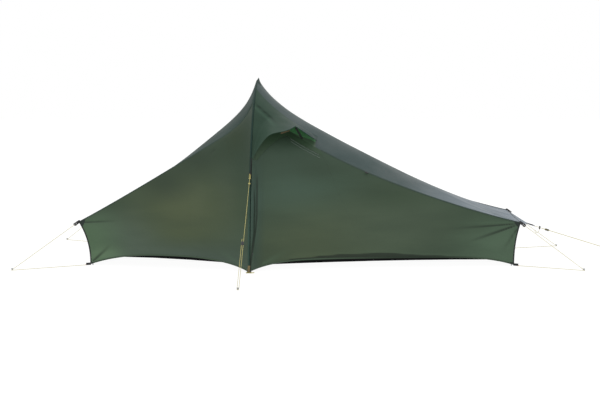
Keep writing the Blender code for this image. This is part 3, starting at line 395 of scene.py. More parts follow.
class Graph:
    """A material with a Principled shader, and short names for the nodes around it."""

    def __init__(self, name, roughness, metallic=0.0, sheen=0.0, specular=0.5, slot=None):
        self.material = bpy.data.materials.new(name)
        self.material.use_nodes = True
        self.tree = self.material.node_tree
        self.shader = self.tree.nodes["Principled BSDF"]
        self.give({"Roughness": roughness, "Metallic": metallic, "Specular IOR Level": specular})
        if sheen:
            self.give({"Sheen Weight": sheen, "Sheen Roughness": 0.45})
        coordinates = self.tree.nodes.new("ShaderNodeTexCoord")
        self.place, self.uv = coordinates.outputs["Object"], coordinates.outputs["UV"]

    def give(self, inputs, node=None):
        """Links or sets inputs of a node, or of the shader where no node is named."""
        for name, value in inputs.items():
            socket = (node or self.shader).inputs[name]
            if isinstance(value, bpy.types.NodeSocket):
                self.tree.links.new(value, socket)
            else:
                socket.default_value = (*value, 1.0) if socket.type == "RGBA" else value

    def node(self, kind, inputs, **settings):
        made = self.tree.nodes.new("ShaderNode" + kind)
        for name, value in settings.items():
            setattr(made, name, value)
        self.give(inputs, made)
        return made

    def math(self, operation, first, second=0.0):
        return self.node("Math", {0: first, 1: second}, operation=operation).outputs[0]

    def noise(self, scale, detail=2.0, where=None):
        inputs = {"Vector": where or self.place, "Scale": scale, "Detail": detail}
        return self.node("TexNoise", inputs).outputs["Fac"]

    def ranged(self, value, low, high, to_low=0.0, to_high=1.0):
        inputs = {"Value": value, "From Min": low, "From Max": high, "To Min": to_low, "To Max": to_high}
        return self.node("MapRange", inputs, interpolation_type="SMOOTHSTEP").outputs["Result"]

    def zone(self, centre, radii):
        """1 at a point, falling to 0 at an ellipse round it, in side view."""
        moved = self.node("Mapping", {
            "Vector": self.place, "Location": (centre[0], 0, centre[1]),
            "Scale": (radii[0], 1000, radii[1]),
        }, vector_type="TEXTURE")
        ball = self.node("TexGradient", {"Vector": moved.outputs["Vector"]}, gradient_type="SPHERICAL")
        return self.ranged(ball.outputs["Fac"], 0.0, 1.0)

    def blend(self, share, first, second):
        return self.node("Mix", {0: share, 6: first, 7: second}, data_type="RGBA").outputs[2]

    def colour(self, value):
        self.give({"Base Color": value})

    def rough(self, value):
        self.give({"Roughness": value})

    def bump(self, *layers):
        """Layers of (height, strength, distance), one upon the other."""
        normal = {}
        for height, strength, distance in layers:
            inputs = {"Height": height, "Strength": strength, "Distance": distance, **normal}
            normal = {"Normal": self.node("Bump", inputs).outputs["Normal"]}
        self.give(normal)

    def grid_lines(self, pitch, width):
        """Thin lines both ways at a pitch in metres, from the piece's own flat coordinates."""
        split = self.node("SeparateXYZ", {"Vector": self.uv})
        lines = []
        for axis in ("X", "Y"):
            turn = self.math("FRACT", self.math("MULTIPLY", split.outputs[axis], 1 / pitch))
            lines.append(self.math("LESS_THAN", turn, width / pitch))
        return self.math("MAXIMUM", *lines)


def fly_cloth(
    name, base, zones=(), roughness=0.46, specular=0.22, shadow=0.70, glow=None, slot="fly_cloth"
):
    """Coated ripstop: a fine grid, soft crinkles, and broad changes of colour where light comes through.

    The fold attribute of a piece paints shade into its valleys, as deep as shadow, and a painted
    highlight
    on its crests. glow is painted light: an emission in the colour of the daylight that comes through a
    single layer.
    """
    g = Graph(name, roughness, specular=specular, slot=slot)
    if glow:
        g.give({"Emission Color": glow, "Emission Strength": 1.0})
    shade = base
    for centre, radii, colour, share in zones:
        shade = g.blend(g.math("MULTIPLY", g.zone(centre, radii), share), shade, colour)
    slub = g.node("Mapping", {"Vector": g.place, "Rotation": (0, 0.7, 0), "Scale": (2.2, 2.2, 9.0)})
    cloudy = g.ranged(g.noise(1.0, 4.0, where=slub.outputs["Vector"]), 0.35, 0.70, 0.0, 0.30)
    shade = g.blend(cloudy, shade, tint(base, 0.72))
    fold = g.node("Attribute", {}, attribute_name="fold").outputs["Fac"]
    shade = g.blend(g.ranged(fold, 0.0, -1.0, 0.0, shadow), shade, tint(base, 0.30))
    shade = g.blend(g.ranged(fold, 0.0, 1.0, 0.0, 0.45), shade, tint(base, 2.0))
    lines = g.grid_lines(0.0055, 0.0005)
    g.colour(g.blend(g.math("MULTIPLY", lines, 0.10), shade, tint(base, 1.5)))
    g.rough(g.ranged(g.noise(6.0, 4.0), 0.3, 0.7, roughness - 0.05, roughness + 0.07))
    g.bump((g.noise(26.0, 3.0), 0.25, 0.004), (g.noise(140.0, 2.0), 0.12, 0.001), (lines, 0.12, 0.0002))
    return g.material


# Colours of the cloth, and its zones as (centre, radii, colour, share), with places as (x, z)
TEAL = (0.0300, 0.0590, 0.0460)
DEEP = (0.0290, 0.0520, 0.0300)
OLIVE = (0.0560, 0.0740, 0.0330)
GREEN = (0.0620, 0.1080, 0.0560)

# These zones are painted light and shade: lighter and greener low down and towards the end, and darker
# in bands just under the ridge and high up by the arch.
wall_head_cloth = fly_cloth("fly_wall_head", DEEP, [
    ((-0.04, 0.90), (0.36, 0.62), (0.017, 0.035, 0.024), 0.95),
    ((-0.06, 0.06), (0.34, 0.30), (0.046, 0.074, 0.050), 0.9),
    ((-0.38, 0.30), (0.52, 0.40), OLIVE, 0.95),
    ((-0.36, 0.02), (0.60, 0.17), (0.054, 0.080, 0.064), 0.95),
    ((-0.70, 0.10), (0.34, 0.26), (0.064, 0.092, 0.066), 0.9),
    ((-0.90, 0.10), (0.30, 0.30), (0.068, 0.120, 0.064), 1.0),
    ((-0.80, 0.07), (0.14, 0.08), (0.110, 0.180, 0.100), 0.5),
    ((-0.48, 0.45), (0.24, 0.15), (0.018, 0.032, 0.018), 0.75),
    ((-0.31, 0.58), (0.24, 0.16), (0.018, 0.032, 0.018), 0.8),
    ((-0.10, 0.71), (0.18, 0.24), (0.018, 0.032, 0.012), 0.7),
])
# These zones are painted light and shade: lighter and greener towards the end and teal by the arch,
# where light comes through, and darker in bands just under the ridge.
foot_zones = [
    ((0.22, 0.46), (0.50, 0.40), (0.043, 0.076, 0.052), 0.9),
    ((0.36, 0.14), (0.62, 0.30), (0.062, 0.084, 0.042), 0.85),
    ((0.80, 0.22), (0.60, 0.34), (0.056, 0.082, 0.050), 0.85),
    ((1.36, 0.10), (0.42, 0.26), (0.066, 0.110, 0.068), 0.95),
    ((0.36, 0.52), (0.26, 0.12), (0.022, 0.040, 0.022), 0.5),
    ((0.76, 0.38), (0.32, 0.12), (0.024, 0.044, 0.022), 0.5),
    ((0.015, 0.30), (0.075, 0.60), TEAL, 0.9),
]
wall_foot_cloth = fly_cloth("fly_wall_foot", DEEP, foot_zones, shadow=0.86)
# Its zone is a painted reflection of the bright sky: pale and bluish towards the foot end.
roof_cloth = fly_cloth("fly_roof_foot", (0.018, 0.040, 0.038), [
    ((1.46, 0.24), (0.85, 0.50), (0.155, 0.190, 0.225), 1.0),
], specular=0.20)
roof_head_cloth = fly_cloth("fly_roof_head", (0.016, 0.035, 0.028), roughness=0.50, specular=0.08)
sleeve_cloth = fly_cloth("fly_sleeve", (0.016, 0.035, 0.028), [
    ((0.0, 0.20), (0.40, 0.40), (0.040, 0.074, 0.056), 1.0),
], roughness=0.50, specular=0.08)
hood_cloth = fly_cloth("fly_hood", (0.029, 0.055, 0.038), [
    ((0.31, 0.72), (0.20, 0.16), (0.014, 0.034, 0.032), 1.0),
], roughness=0.52, specular=0.07)
flap_cloth = fly_cloth("fly_flap", DEEP, foot_zones, shadow=0.80)
# Painted light: these two glow a little, in place of daylight coming through the cloth in the hood's
# shade.
lit_cloth = fly_cloth("fly_under_hood", DEEP, glow=(0.003, 0.008, 0.003))
sill_cloth = fly_cloth("fly_vent_sill", DEEP, glow=(0.016, 0.028, 0.016))
# Painted light: the foot end is greener low down, where light comes through it.
end_cloth = fly_cloth("fly_ends", DEEP, [((1.42, 0.12), (0.30, 0.20), GREEN, 0.6)])
hem_cloth = fly_cloth("fly_hem", (0.040, 0.066, 0.040))
# Its zone is painted shade: near black along the middle of the foot walls, where the hem turns in under
# them.
hem_foot_cloth = fly_cloth("fly_hem_foot", (0.040, 0.066, 0.040), [
    ((0.86, 0.03), (0.50, 0.50), (0.006, 0.014, 0.006), 1.0),
])
patch_cloth = fly_cloth("fly_patch", (0.014, 0.022, 0.018), slot="webbing")
seam_cloth = fly_cloth("fly_seam", (0.024, 0.044, 0.034))


def woven(name, colour, thread, sheen=0.2, slot="webbing"):
    """Webbing and tapes: a herringbone of threads, from the piece's flat coordinates."""
    g = Graph(name, 0.8, sheen=sheen, slot=slot)
    split = g.node("SeparateXYZ", {"Vector": g.uv})
    across = g.math("PINGPONG", split.outputs["Y"], thread * 3)
    slant = g.math("ADD", split.outputs["X"], across)
    threads = g.math("SINE", g.math("MULTIPLY", slant, math.tau / thread))
    g.colour(g.blend(g.ranged(threads, -1, 1), tint(colour, 0.65), tint(colour, 1.25)))
    g.bump((threads, 0.5, 0.0004), (g.noise(300.0, 2.0), 0.2, 0.0004))
    return g.material


def plastic(name, colour, roughness=0.42):
    g = Graph(name, roughness, slot="black_plastic")
    g.colour(g.blend(g.ranged(g.noise(90.0, 3.0), 0.35, 0.65, 0.0, 0.5), colour, tint(colour, 1.6)))
    g.rough(g.ranged(g.noise(60.0, 4.0), 0.3, 0.7, roughness - 0.08, roughness + 0.12))
    g.bump((g.noise(900.0, 2.0), 0.15, 0.0002))
    return g.material


def metal(name, colour, roughness=0.32):
    g = Graph(name, roughness, metallic=1.0)
    drawn = g.node("Mapping", {"Vector": g.place, "Scale": (400, 400, 12)}).outputs["Vector"]
    grain = g.noise(1.0, 3.0, where=drawn)
    g.colour(g.blend(g.ranged(grain, 0.3, 0.7), tint(colour, 0.85), colour))
    g.rough(g.ranged(grain, 0.3, 0.7, roughness - 0.06, roughness + 0.10))
    g.bump((grain, 0.08, 0.0002))
    return g.material


def netting(name, colour, pitch, glow=0.0):
    """Fine netting: threads both ways, darker between them. glow is the light that comes through."""
    g = Graph(name, 0.7, sheen=0.25)
    g.give({"Emission Color": colour, "Emission Strength": glow})
    lines = g.grid_lines(pitch, pitch * 0.45)
    g.colour(g.blend(lines, tint(colour, 0.25), colour))
    g.bump((lines, 0.6, 0.0004), (g.noise(40.0, 3.0), 0.15, 0.002))
    return g.material


BRAID_PITCH = 0.0022


def braid(name, colour, fleck):
    """A braided cord, with a fleck of a second colour."""
    g = Graph(name, 0.65, sheen=0.3)
    split = g.node("SeparateXYZ", {"Vector": g.place})
    slant = g.math("ADD", g.math("ADD", split.outputs["X"], split.outputs["Y"]), split.outputs["Z"])
    twist = g.math("SINE", g.math("MULTIPLY", slant, math.tau / BRAID_PITCH))
    shade = g.blend(g.ranged(twist, -1, 1), tint(colour, 0.8), colour)
    g.colour(g.blend(g.ranged(g.noise(500.0, 1.0), 0.62, 0.66, 0.0, 0.6), shade, fleck))
    g.bump((twist, 0.5, 0.0003))
    return g.material


tape_cloth = woven("edge_tape", (0.010, 0.014, 0.012), 0.0012)
web_cloth = woven("webbing", (0.012, 0.012, 0.013), 0.0016)
zip_cloth = woven("zip_tape", (0.004, 0.009, 0.006), 0.0010, sheen=0.0)
pale_piping = woven("pale_piping", (0.100, 0.135, 0.110), 0.0010)
orange_web = woven("orange_webbing", (0.42, 0.17, 0.03), 0.0010, slot="guy_cord")
orange_dark = woven("hood_webbing", (0.062, 0.042, 0.012), 0.0010)
khaki_web = woven("khaki_webbing", (0.16, 0.12, 0.05), 0.0012)
black_plastic = plastic("black_plastic", (0.012, 0.012, 0.013))
zip_plastic = plastic("zip_plastic", (0.014, 0.020, 0.018), 0.35)
alloy = metal("pole_alloy", (0.33, 0.35, 0.36))
peg_alloy = metal("peg_alloy", (0.42, 0.43, 0.44), 0.38)
vent_net = netting("vent_netting", (0.040, 0.160, 0.052), 0.0011, glow=0.32)
inner_net = netting("inner_netting", (0.030, 0.036, 0.034), 0.0012)
cord_braid = braid("guy_cord", (0.50, 0.44, 0.13), (0.60, 0.55, 0.28))
shock_braid = braid("shock_cord", (0.55, 0.55, 0.55), (0.1, 0.1, 0.1))


def groundsheet_material():
    """Coated groundsheet: near black below, dark green up its walls."""
    g = Graph("groundsheet", 0.55, specular=0.08)
    height = g.node("SeparateXYZ", {"Vector": g.place}).outputs["Z"]
    wall = g.ranged(height, 0.026, 0.036)
    cloudy = g.ranged(g.noise(5.0, 3.0), 0.3, 0.7, 0.0, 0.5)
    dark = g.blend(cloudy, (0.002, 0.003, 0.003), (0.004, 0.005, 0.005))
    g.colour(g.blend(wall, dark, (0.030, 0.066, 0.034)))
    g.bump((g.noise(30.0, 4.0), 0.3, 0.003), (g.noise(400.0, 2.0), 0.15, 0.0004))
    return g.material


groundsheet = groundsheet_material()


# Building pieces


def placed(name, data):
    made = bpy.data.objects.new(name, data)
    bpy.context.scene.collection.objects.link(made)
    return made


def finish_piece(name, mesh, paint, nodes, body, sharp=50):
    made = placed(name, mesh)
    mesh.materials.append(paint)
    mesh.shade_smooth()
    mesh.set_sharp_from_angle(angle=math.radians(sharp))
    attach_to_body(made, body)
    if nodes:
        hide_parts(*nodes)
    return made


def mesh_of(name, verts, faces, flat, folds=None):
    """A closed mesh that faces outwards. flat and folds give each corner's flat place and fold."""
    mesh = bpy.data.meshes.new(name)
    mesh.from_pydata(verts, [], faces)
    layer = mesh.uv_layers.new(name="flat")
    for loop in mesh.loops:
        layer.data[loop.index].uv = flat(loop.vertex_index)
    if folds:
        values = mesh.attributes.new("fold", "FLOAT", "POINT").data
        for number in range(len(verts)):
            values[number].value = folds(number)
    build = bmesh.new()
    build.from_mesh(mesh)
    bmesh.ops.recalc_face_normals(build, faces=build.faces)
    if build.calc_volume(signed=True) < 0:
        bmesh.ops.reverse_faces(build, faces=build.faces)
    build.to_mesh(mesh)
    build.free()
    return mesh


def shell(name, points, faces_to, paint, nodes=(), body=ROOT, thickness=CLOTH, keep=None, folds=None):
    """A closed cloth shell about a grid of points, with flat coordinates in metres.

    faces_to is the way it looks: the side of the fly that it lies on, or one direction. keep says
    which cells are there. folds gives each point's place in the folds, from -1 to 1.
    """
    columns, rows = len(points), len(points[0])
    kept = [
        (c, r) for c in range(columns - 1) for r in range(rows - 1) if keep is None or keep(c, r)
    ]
    kept_set = set(kept)
    corners = sorted({(c + i, r + j) for c, r in kept for i in (0, 1) for j in (0, 1)})
    index = {corner: number for number, corner in enumerate(corners)}
    count = len(corners)
    verts = []
    for sign in (0.5, -0.5):
        for c, r in corners:
            point = points[c][r]
            out = outward(faces_to, point) if isinstance(faces_to, Side) else faces_to
            verts.append(point + out * thickness * sign)
    flat_u, flat_v = [0.0], []
    for before, after in zip(points, points[1:]):
        flat_u.append(flat_u[-1] + (after[rows // 2] - before[rows // 2]).length)
    for column in points:
        line = [0.0]
        for before, after in zip(column, column[1:]):
            line.append(line[-1] + (after - before).length)
        flat_v.append(line)
    faces = []
    for c, r in kept:
        top = [index[corner] for corner in ((c, r), (c + 1, r), (c + 1, r + 1), (c, r + 1))]
        faces.append(top)
        faces.append([number + count for number in reversed(top)])
        for turn, beyond in enumerate(((c, r - 1), (c + 1, r), (c, r + 1), (c - 1, r))):
            if beyond not in kept_set:
                a, b = top[turn], top[(turn + 1) % 4]
                faces.append([a + count, b + count, b, a])

    def flat(number):
        c, r = corners[number % count]
        return flat_u[c], flat_v[c][r]

    def fold(number):
        c, r = corners[number % count]
        return folds[c][r]

    mesh = mesh_of(name, verts, faces, flat, fold if folds else None)
    return finish_piece(name, mesh, paint, nodes, body)


def cells_area(points, keep):
    total = 0.0
    for c in range(len(points) - 1):
        for r in range(len(points[0]) - 1):
            if keep is None or keep(c, r):
                a, b = points[c][r], points[c + 1][r]
                d, e = points[c + 1][r + 1], points[c][r + 1]
                total += ((b - a).cross(d - a).length + (d - a).cross(e - a).length) / 2
    return total


# The least share of its flat size that a sheet's area may be
LEAST_SHARE = 0.3001


def cloth(name, points, faces_to, paint, rests, nodes=(), held="stretched", keep=None, cut=None, **more):
    """A shell; the size and area of its flat cut are worked out here but not used.

    cut is the piece's own part of the grid, where the rest of the grid is far larger.
    """
    piece = shell(name, points, faces_to, paint, nodes, keep=keep, **more)
    if cut:
        points, keep = cut, None
    middle = len(points[0]) // 2
    long = sum((after[middle] - before[middle]).length for before, after in zip(points, points[1:]))
    wide = max(sum((b - a).length for a, b in zip(column, column[1:])) for column in points)
    area = max(min(cells_area(points, keep), long * wide), LEAST_SHARE * wide * long)


def tube(name, path, radius, paint, nodes=(), body=ROOT, sides=10, closed=False, flat=1.0):
    """A round tube along a path, as a mesh with closed ends. flat squashes it upwards."""
    points = [Vector(p) for p in path]
    total = len(points)
    verts, stations = [], []
    normal = None
    along = 0.0
    for number, point in enumerate(points):
        before = points[number - 1] if number or closed else point
        after = points[(number + 1) % total] if number < total - 1 or closed else point
        tangent = (after - before).normalized()
        if normal is None:
            normal = tangent.orthogonal().normalized()
        normal = (normal - tangent * normal.dot(tangent)).normalized()
        side = tangent.cross(normal)
        for turn in turns(sides):
            verts.append(point + (normal * math.cos(turn) + side * math.sin(turn) * flat) * radius)
        along += (point - points[number - 1]).length if number else 0.0
        stations.append(along)
    faces = []
    for number in range(total if closed else total - 1):
        near, far = number * sides, (number + 1) % total * sides
        for step in range(sides):
            turned = (step + 1) % sides
            faces.append([near + step, near + turned, far + turned, far + step])
    if not closed:
        faces.append(list(range(sides)))
        faces.append([(total - 1) * sides + step for step in reversed(range(sides))])

    def flat_place(vertex):
        number, step = divmod(vertex, sides)
        return stations[number], step / sides * math.tau * 0.002

    return finish_piece(name, mesh_of(name, verts, faces, flat_place), paint, nodes, body, sharp=60)


# Camera, light and floor


def make_camera():
    yaw, pitch, roll = math.radians(-3.2500), math.radians(-6.3264), math.radians(-0.1142)
    ahead = Vector((math.sin(yaw) * math.cos(pitch), math.cos(yaw) * math.cos(pitch), math.sin(pitch)))
    right = Vector((math.cos(yaw), -math.sin(yaw), 0))
    up = right.cross(ahead)
    turned = right * math.cos(roll) + up * math.sin(roll)
    raised = up * math.cos(roll) - right * math.sin(roll)
    data = bpy.data.cameras.new("view")
    data.lens, data.sensor_width = 66.63, 36.0
    camera = placed("view", data)
    turn = Matrix((turned, raised, -ahead)).transposed().to_4x4()
    camera.matrix_world = Matrix.Translation((0.5917, -6.2637, 1.0155)) @ turn
    bpy.context.scene.camera = camera


def area_light(name, place, target, size, energy):
    data = bpy.data.lights.new(name, "AREA")
    data.shape, data.size, data.size_y, data.energy = "RECTANGLE", *size, energy
    lamp = placed(name, data)
    lamp.location = place
    lamp.rotation_mode = "QUATERNION"
    lamp.rotation_quaternion = (Vector(target) - Vector(place)).to_track_quat("-Z", "Y")


def make_studio():
    scene = bpy.context.scene
    scene.view_settings.view_transform = "Standard"
    world = bpy.data.worlds.new("studio")
    world.use_nodes = True
    background = world.node_tree.nodes["Background"]
    background.inputs["Color"].default_value = (1.0, 1.0, 1.0, 1.0)
    background.inputs["Strength"].default_value = 1.0
    scene.world = world
    area_light("top_softbox", (0.3, 1.2, 4.2), (0.3, 0.0, 0.2), (5.0, 4.0), 60)
    area_light("front_softbox", (-1.5, -5.0, 3.2), (0.3, 0.0, 0.3), (4.0, 3.0), 45)
    bpy.ops.mesh.primitive_plane_add(size=40, location=(0.3, 0, -0.0006))
    floor = bpy.context.object
    floor.name = "floor"
    g = Graph("floor_paper", 0.9, specular=0.2)
    g.colour(g.blend(g.ranged(g.noise(3.0, 2.0), 0.3, 0.7), (0.06, 0.06, 0.06), (0.08, 0.08, 0.08)))
    g.give({"Emission Color": (1.0, 1.0, 1.0), "Emission Strength": 0.96})
    floor.data.materials.append(g.material)


make_camera()
make_studio()


# Guy lines, with the points that the solids follow

CORD_RADIUS = 0.0011
PEG_RADIUS = 0.003
CORD_BEND = PEG_RADIUS + GAP + CORD_RADIUS
CORD_LOW = CORD_RADIUS + GAP
SLIDER_TAIL = 0.030
GUY_HEIGHT = 0.497
GUY_HALF = arch_half_width(GUY_HEIGHT) + SLEEVE_OUTER + CORD_RADIUS + GAP
GUY_PEG_REACH, GUY_SLIDER_AT = 1.042, 0.290
END_PEG_REACH, END_SLIDER_AT, END_SLIDER_ROLL = 2.139, 0.535, 40
BEAK_LENGTH, BEAK_DROP = 0.092, 0.047
HOOK_LENGTH, HOOK_FALL = 0.030, 0.009


def straight(start, end, steps):
    start, end = Vector(start), Vector(end)
    return [start.lerp(end, share) for share in spread(0, 1, steps)]


def bend_round(centre, start, end):
    """A line's bend round a peg, between two angles."""
    return [
        Vector((centre.x + CORD_BEND * math.cos(t), centre.y + CORD_BEND * math.sin(t), CORD_LOW))
        for t in spread(start, end, 4)
    ]


def cord_piece(name, points, node):
    """A taut line along its route; its real length is worked out but not used."""
    curve = bpy.data.curves.new(name, "CURVE")
    curve.dimensions = "3D"
    spline = curve.splines.new("POLY")
    spline.points.add(len(points) - 1)
    for target, point in zip(spline.points, points):
        target.co = (*point, 1.0)
    curve.bevel_depth, curve.bevel_resolution, curve.use_fill_caps = CORD_RADIUS, 2, True
    curve.materials.append(cord_braid)
    made = placed(name, curve)
    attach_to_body(made, ROOT)
    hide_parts(node)
    length = sum((b - a).length for a, b in zip(points, points[1:]))
    tuple(points[0])


def lathe(build, profile, steps=20):
    """Turns a profile of (radius, height) round the z axis."""
    verts = [build.verts.new((radius, 0, height)) for radius, height in profile]
    edges = [build.edges.new(pair) for pair in zip(verts, verts[1:])]
    bmesh.ops.spin(
        build, geom=verts + edges, axis=(0, 0, 1), cent=(0, 0, 0), steps=steps, angle=math.tau
    )
    bmesh.ops.remove_doubles(build, verts=build.verts, dist=0.000005)


def from_build(name, build, matrix, paint, nodes=(), body=ROOT):
    bmesh.ops.transform(build, matrix=matrix, verts=build.verts)
    bmesh.ops.recalc_face_normals(build, faces=build.faces)
    mesh = bpy.data.meshes.new(name)
    build.to_mesh(mesh)
    build.free()
    return finish_piece(name, mesh, paint, nodes, body, sharp=40)


def make_peg(tag, centre):
    """The head of a pin peg: a shaft with a collar and a rounded, grooved head."""
    build = bmesh.new()
    lathe(build, [
        (0, GAP), (0.0029, GAP), (0.0029, 0.0068), (0.0034, 0.0073), (0.0056, 0.0078),
        (0.0060, 0.0084), (0.0060, 0.0092), (0.0054, 0.0095), (0.0054, 0.0099), (0.0058, 0.0102),
        (0.0054, 0.0107), (0.0036, 0.0110), (0, 0.0110),
    ])
    place = Matrix.Translation((centre.x, centre.y, 0))
    return from_build(f"peg_{tag}_head", build, place, peg_alloy, [f"peg_{tag}"])


def frame_along(origin, forward, across):
    x_axis = Vector(forward).normalized()
    z_axis = x_axis.cross(Vector(across)).normalized()
    y_axis = z_axis.cross(x_axis)
    return Matrix.Translation(origin) @ Matrix((x_axis, y_axis, z_axis)).transposed().to_4x4()


def plate_build(outline, holes, thickness, bevel):
    """A flat plate with rounded holes, extruded both ways from its middle and bevelled."""
    curve = bpy.data.curves.new("plate", "CURVE")
    curve.dimensions = "2D"
    curve.fill_mode = "BOTH"
    curve.extrude, curve.bevel_depth, curve.bevel_resolution = thickness / 2 - bevel, bevel, 1
    curve.offset = -bevel
    for ring in [outline, *holes]:
        spline = curve.splines.new("POLY")
        spline.points.add(len(ring) - 1)
        for target, point in zip(spline.points, ring):
            target.co = (*point, 0, 1)
        spline.use_cyclic_u = True
    helper = bpy.data.objects.new("plate", curve)
    mesh = bpy.data.meshes.new_from_object(helper)
    build = bmesh.new()
    build.from_mesh(mesh)
    bmesh.ops.remove_doubles(build, verts=build.verts, dist=0.000005)
    bpy.data.objects.remove(helper)
    bpy.data.meshes.remove(mesh)
    return build


def rounded(width, height, radius, centre=(0, 0)):
    """A rectangle with rounded corners, as a ring of points."""
    ring = []
    for turn, (x, y) in enumerate(((1, 1), (-1, 1), (-1, -1), (1, -1))):
        middle = (centre[0] + x * (width / 2 - radius), centre[1] + y * (height / 2 - radius))
        for share in spread(0, 1, 5):
            angle = math.pi / 2 * (turn + share)
            ring.append((middle[0] + radius * math.cos(angle), middle[1] + radius * math.sin(angle)))
    return ring


def make_slider(tag, holder):
    """A line slider: a waisted bar with three eyes and two thicker lips."""
    outline = []
    for turn in turns(48):
        x, y = math.cos(turn), math.sin(turn)
        long = math.copysign(abs(x) ** 0.5, x) * 0.0118
        wide = math.copysign(abs(y) ** 0.6, y) * (0.0076 - 0.0016 * math.exp(-((long / 0.005) ** 2)))
        outline.append((long, wide))
    holes = [rounded(0.0030, 0.0044, 0.0014, (x, 0)) for x in (-0.0072, 0.0, 0.0072)]
    build = plate_build(outline, holes, 0.0052, 0.0008)
    return from_build(f"line_slider_{tag}", build, holder, black_plastic, [f"guy_slider_{tag}"],
                      f"guy_tensioner_{tag}")


def double_guy(tag, attach, peg_reach, across, slider_from_peg, roll=0):
    """A line to its peg and back up to its slider, with both."""
    attach, across = Vector(attach), Vector(across)
    away = Vector((across.y, -across.x, 0))
    low = Vector((0, 0, CORD_LOW))
    centre = away * peg_reach + across * (attach.dot(across) - CORD_BEND)
    near = centre + across * CORD_BEND + low
    far = centre - across * CORD_BEND + low
    uphill = (attach - near).normalized()
    start = math.atan2(across.y, across.x)
    back = straight(far, far + uphill * (slider_from_peg + SLIDER_TAIL), 3)
    points = straight(attach, near, 4)[:-1] + bend_round(centre, start, start - math.pi) + back[1:]
    peg = make_peg(tag, centre)
    middle = centre + low + uphill * slider_from_peg
    turn = Matrix.Rotation(math.radians(roll), 4, "X")
    slider = make_slider(tag, frame_along(middle, uphill, across) @ turn)
    cord_piece(f"line_{tag}", points, f"guy_line_{tag}")
    return points


for face, facing in FACES:
    double_guy(face, (0, facing * GUY_HALF, GUY_HEIGHT), GUY_PEG_REACH, (-facing, 0, 0), GUY_SLIDER_AT)
BEAK_TIP = Vector((FOOT.length + FOOT.lean + BEAK_LENGTH, 0, CORNER_HEIGHT - BEAK_DROP))
HOOK_START = BEAK_TIP + Vector((GAP + 0.002 * HOOK_FALL / HOOK_LENGTH, 0, 0))
HOOK_END = HOOK_START + Vector((HOOK_LENGTH, 0, -HOOK_FALL))
end_line = double_guy(
    "end", HOOK_END + Vector((2 * GAP, 0, 0)), END_PEG_REACH, (0, 1, 0), END_SLIDER_AT, END_SLIDER_ROLL
)


# Corners: buckles, tabs and their lines

BUCKLE_HALF, TAB_HALF, LOOSE = 0.015, 0.011, 0.0006
BUCKLE_ROLL = math.radians(42)


def webbing(name, path, across, width, paint=web_cloth, thickness=0.0012, nodes=(), lift=None):
    """A flat strap along a path. lift is the way its face looks, where its ends don't give it."""
    across = Vector(across).normalized()
    grid = [
        [Vector(p) + across * width * (share - 0.5) for share in (0, 0.25, 0.5, 0.75, 1)] for p in path
    ]
    lift = lift or (Vector(path[-1]) - Vector(path[0])).cross(across).normalized()
    shell(name, grid, lift, paint, nodes, thickness=thickness)


def cord_tail(name, path):
    tube(name, path, CORD_RADIUS * 0.9, cord_braid, sides=8)


def knot_piece(name, place, radius, paint=cord_braid):
    """A small overhand knot, as a trefoil of cord pulled tight."""
    path = [
        Vector(place) + Vector((
            math.sin(t) + 2 * math.sin(2 * t), math.cos(t) - 2 * math.cos(2 * t), -math.sin(3 * t) * 1.1
        )) * radius * 0.36
        for t in turns(36)
    ]
    return tube(name, path, radius * 0.42, paint, closed=True, sides=8)


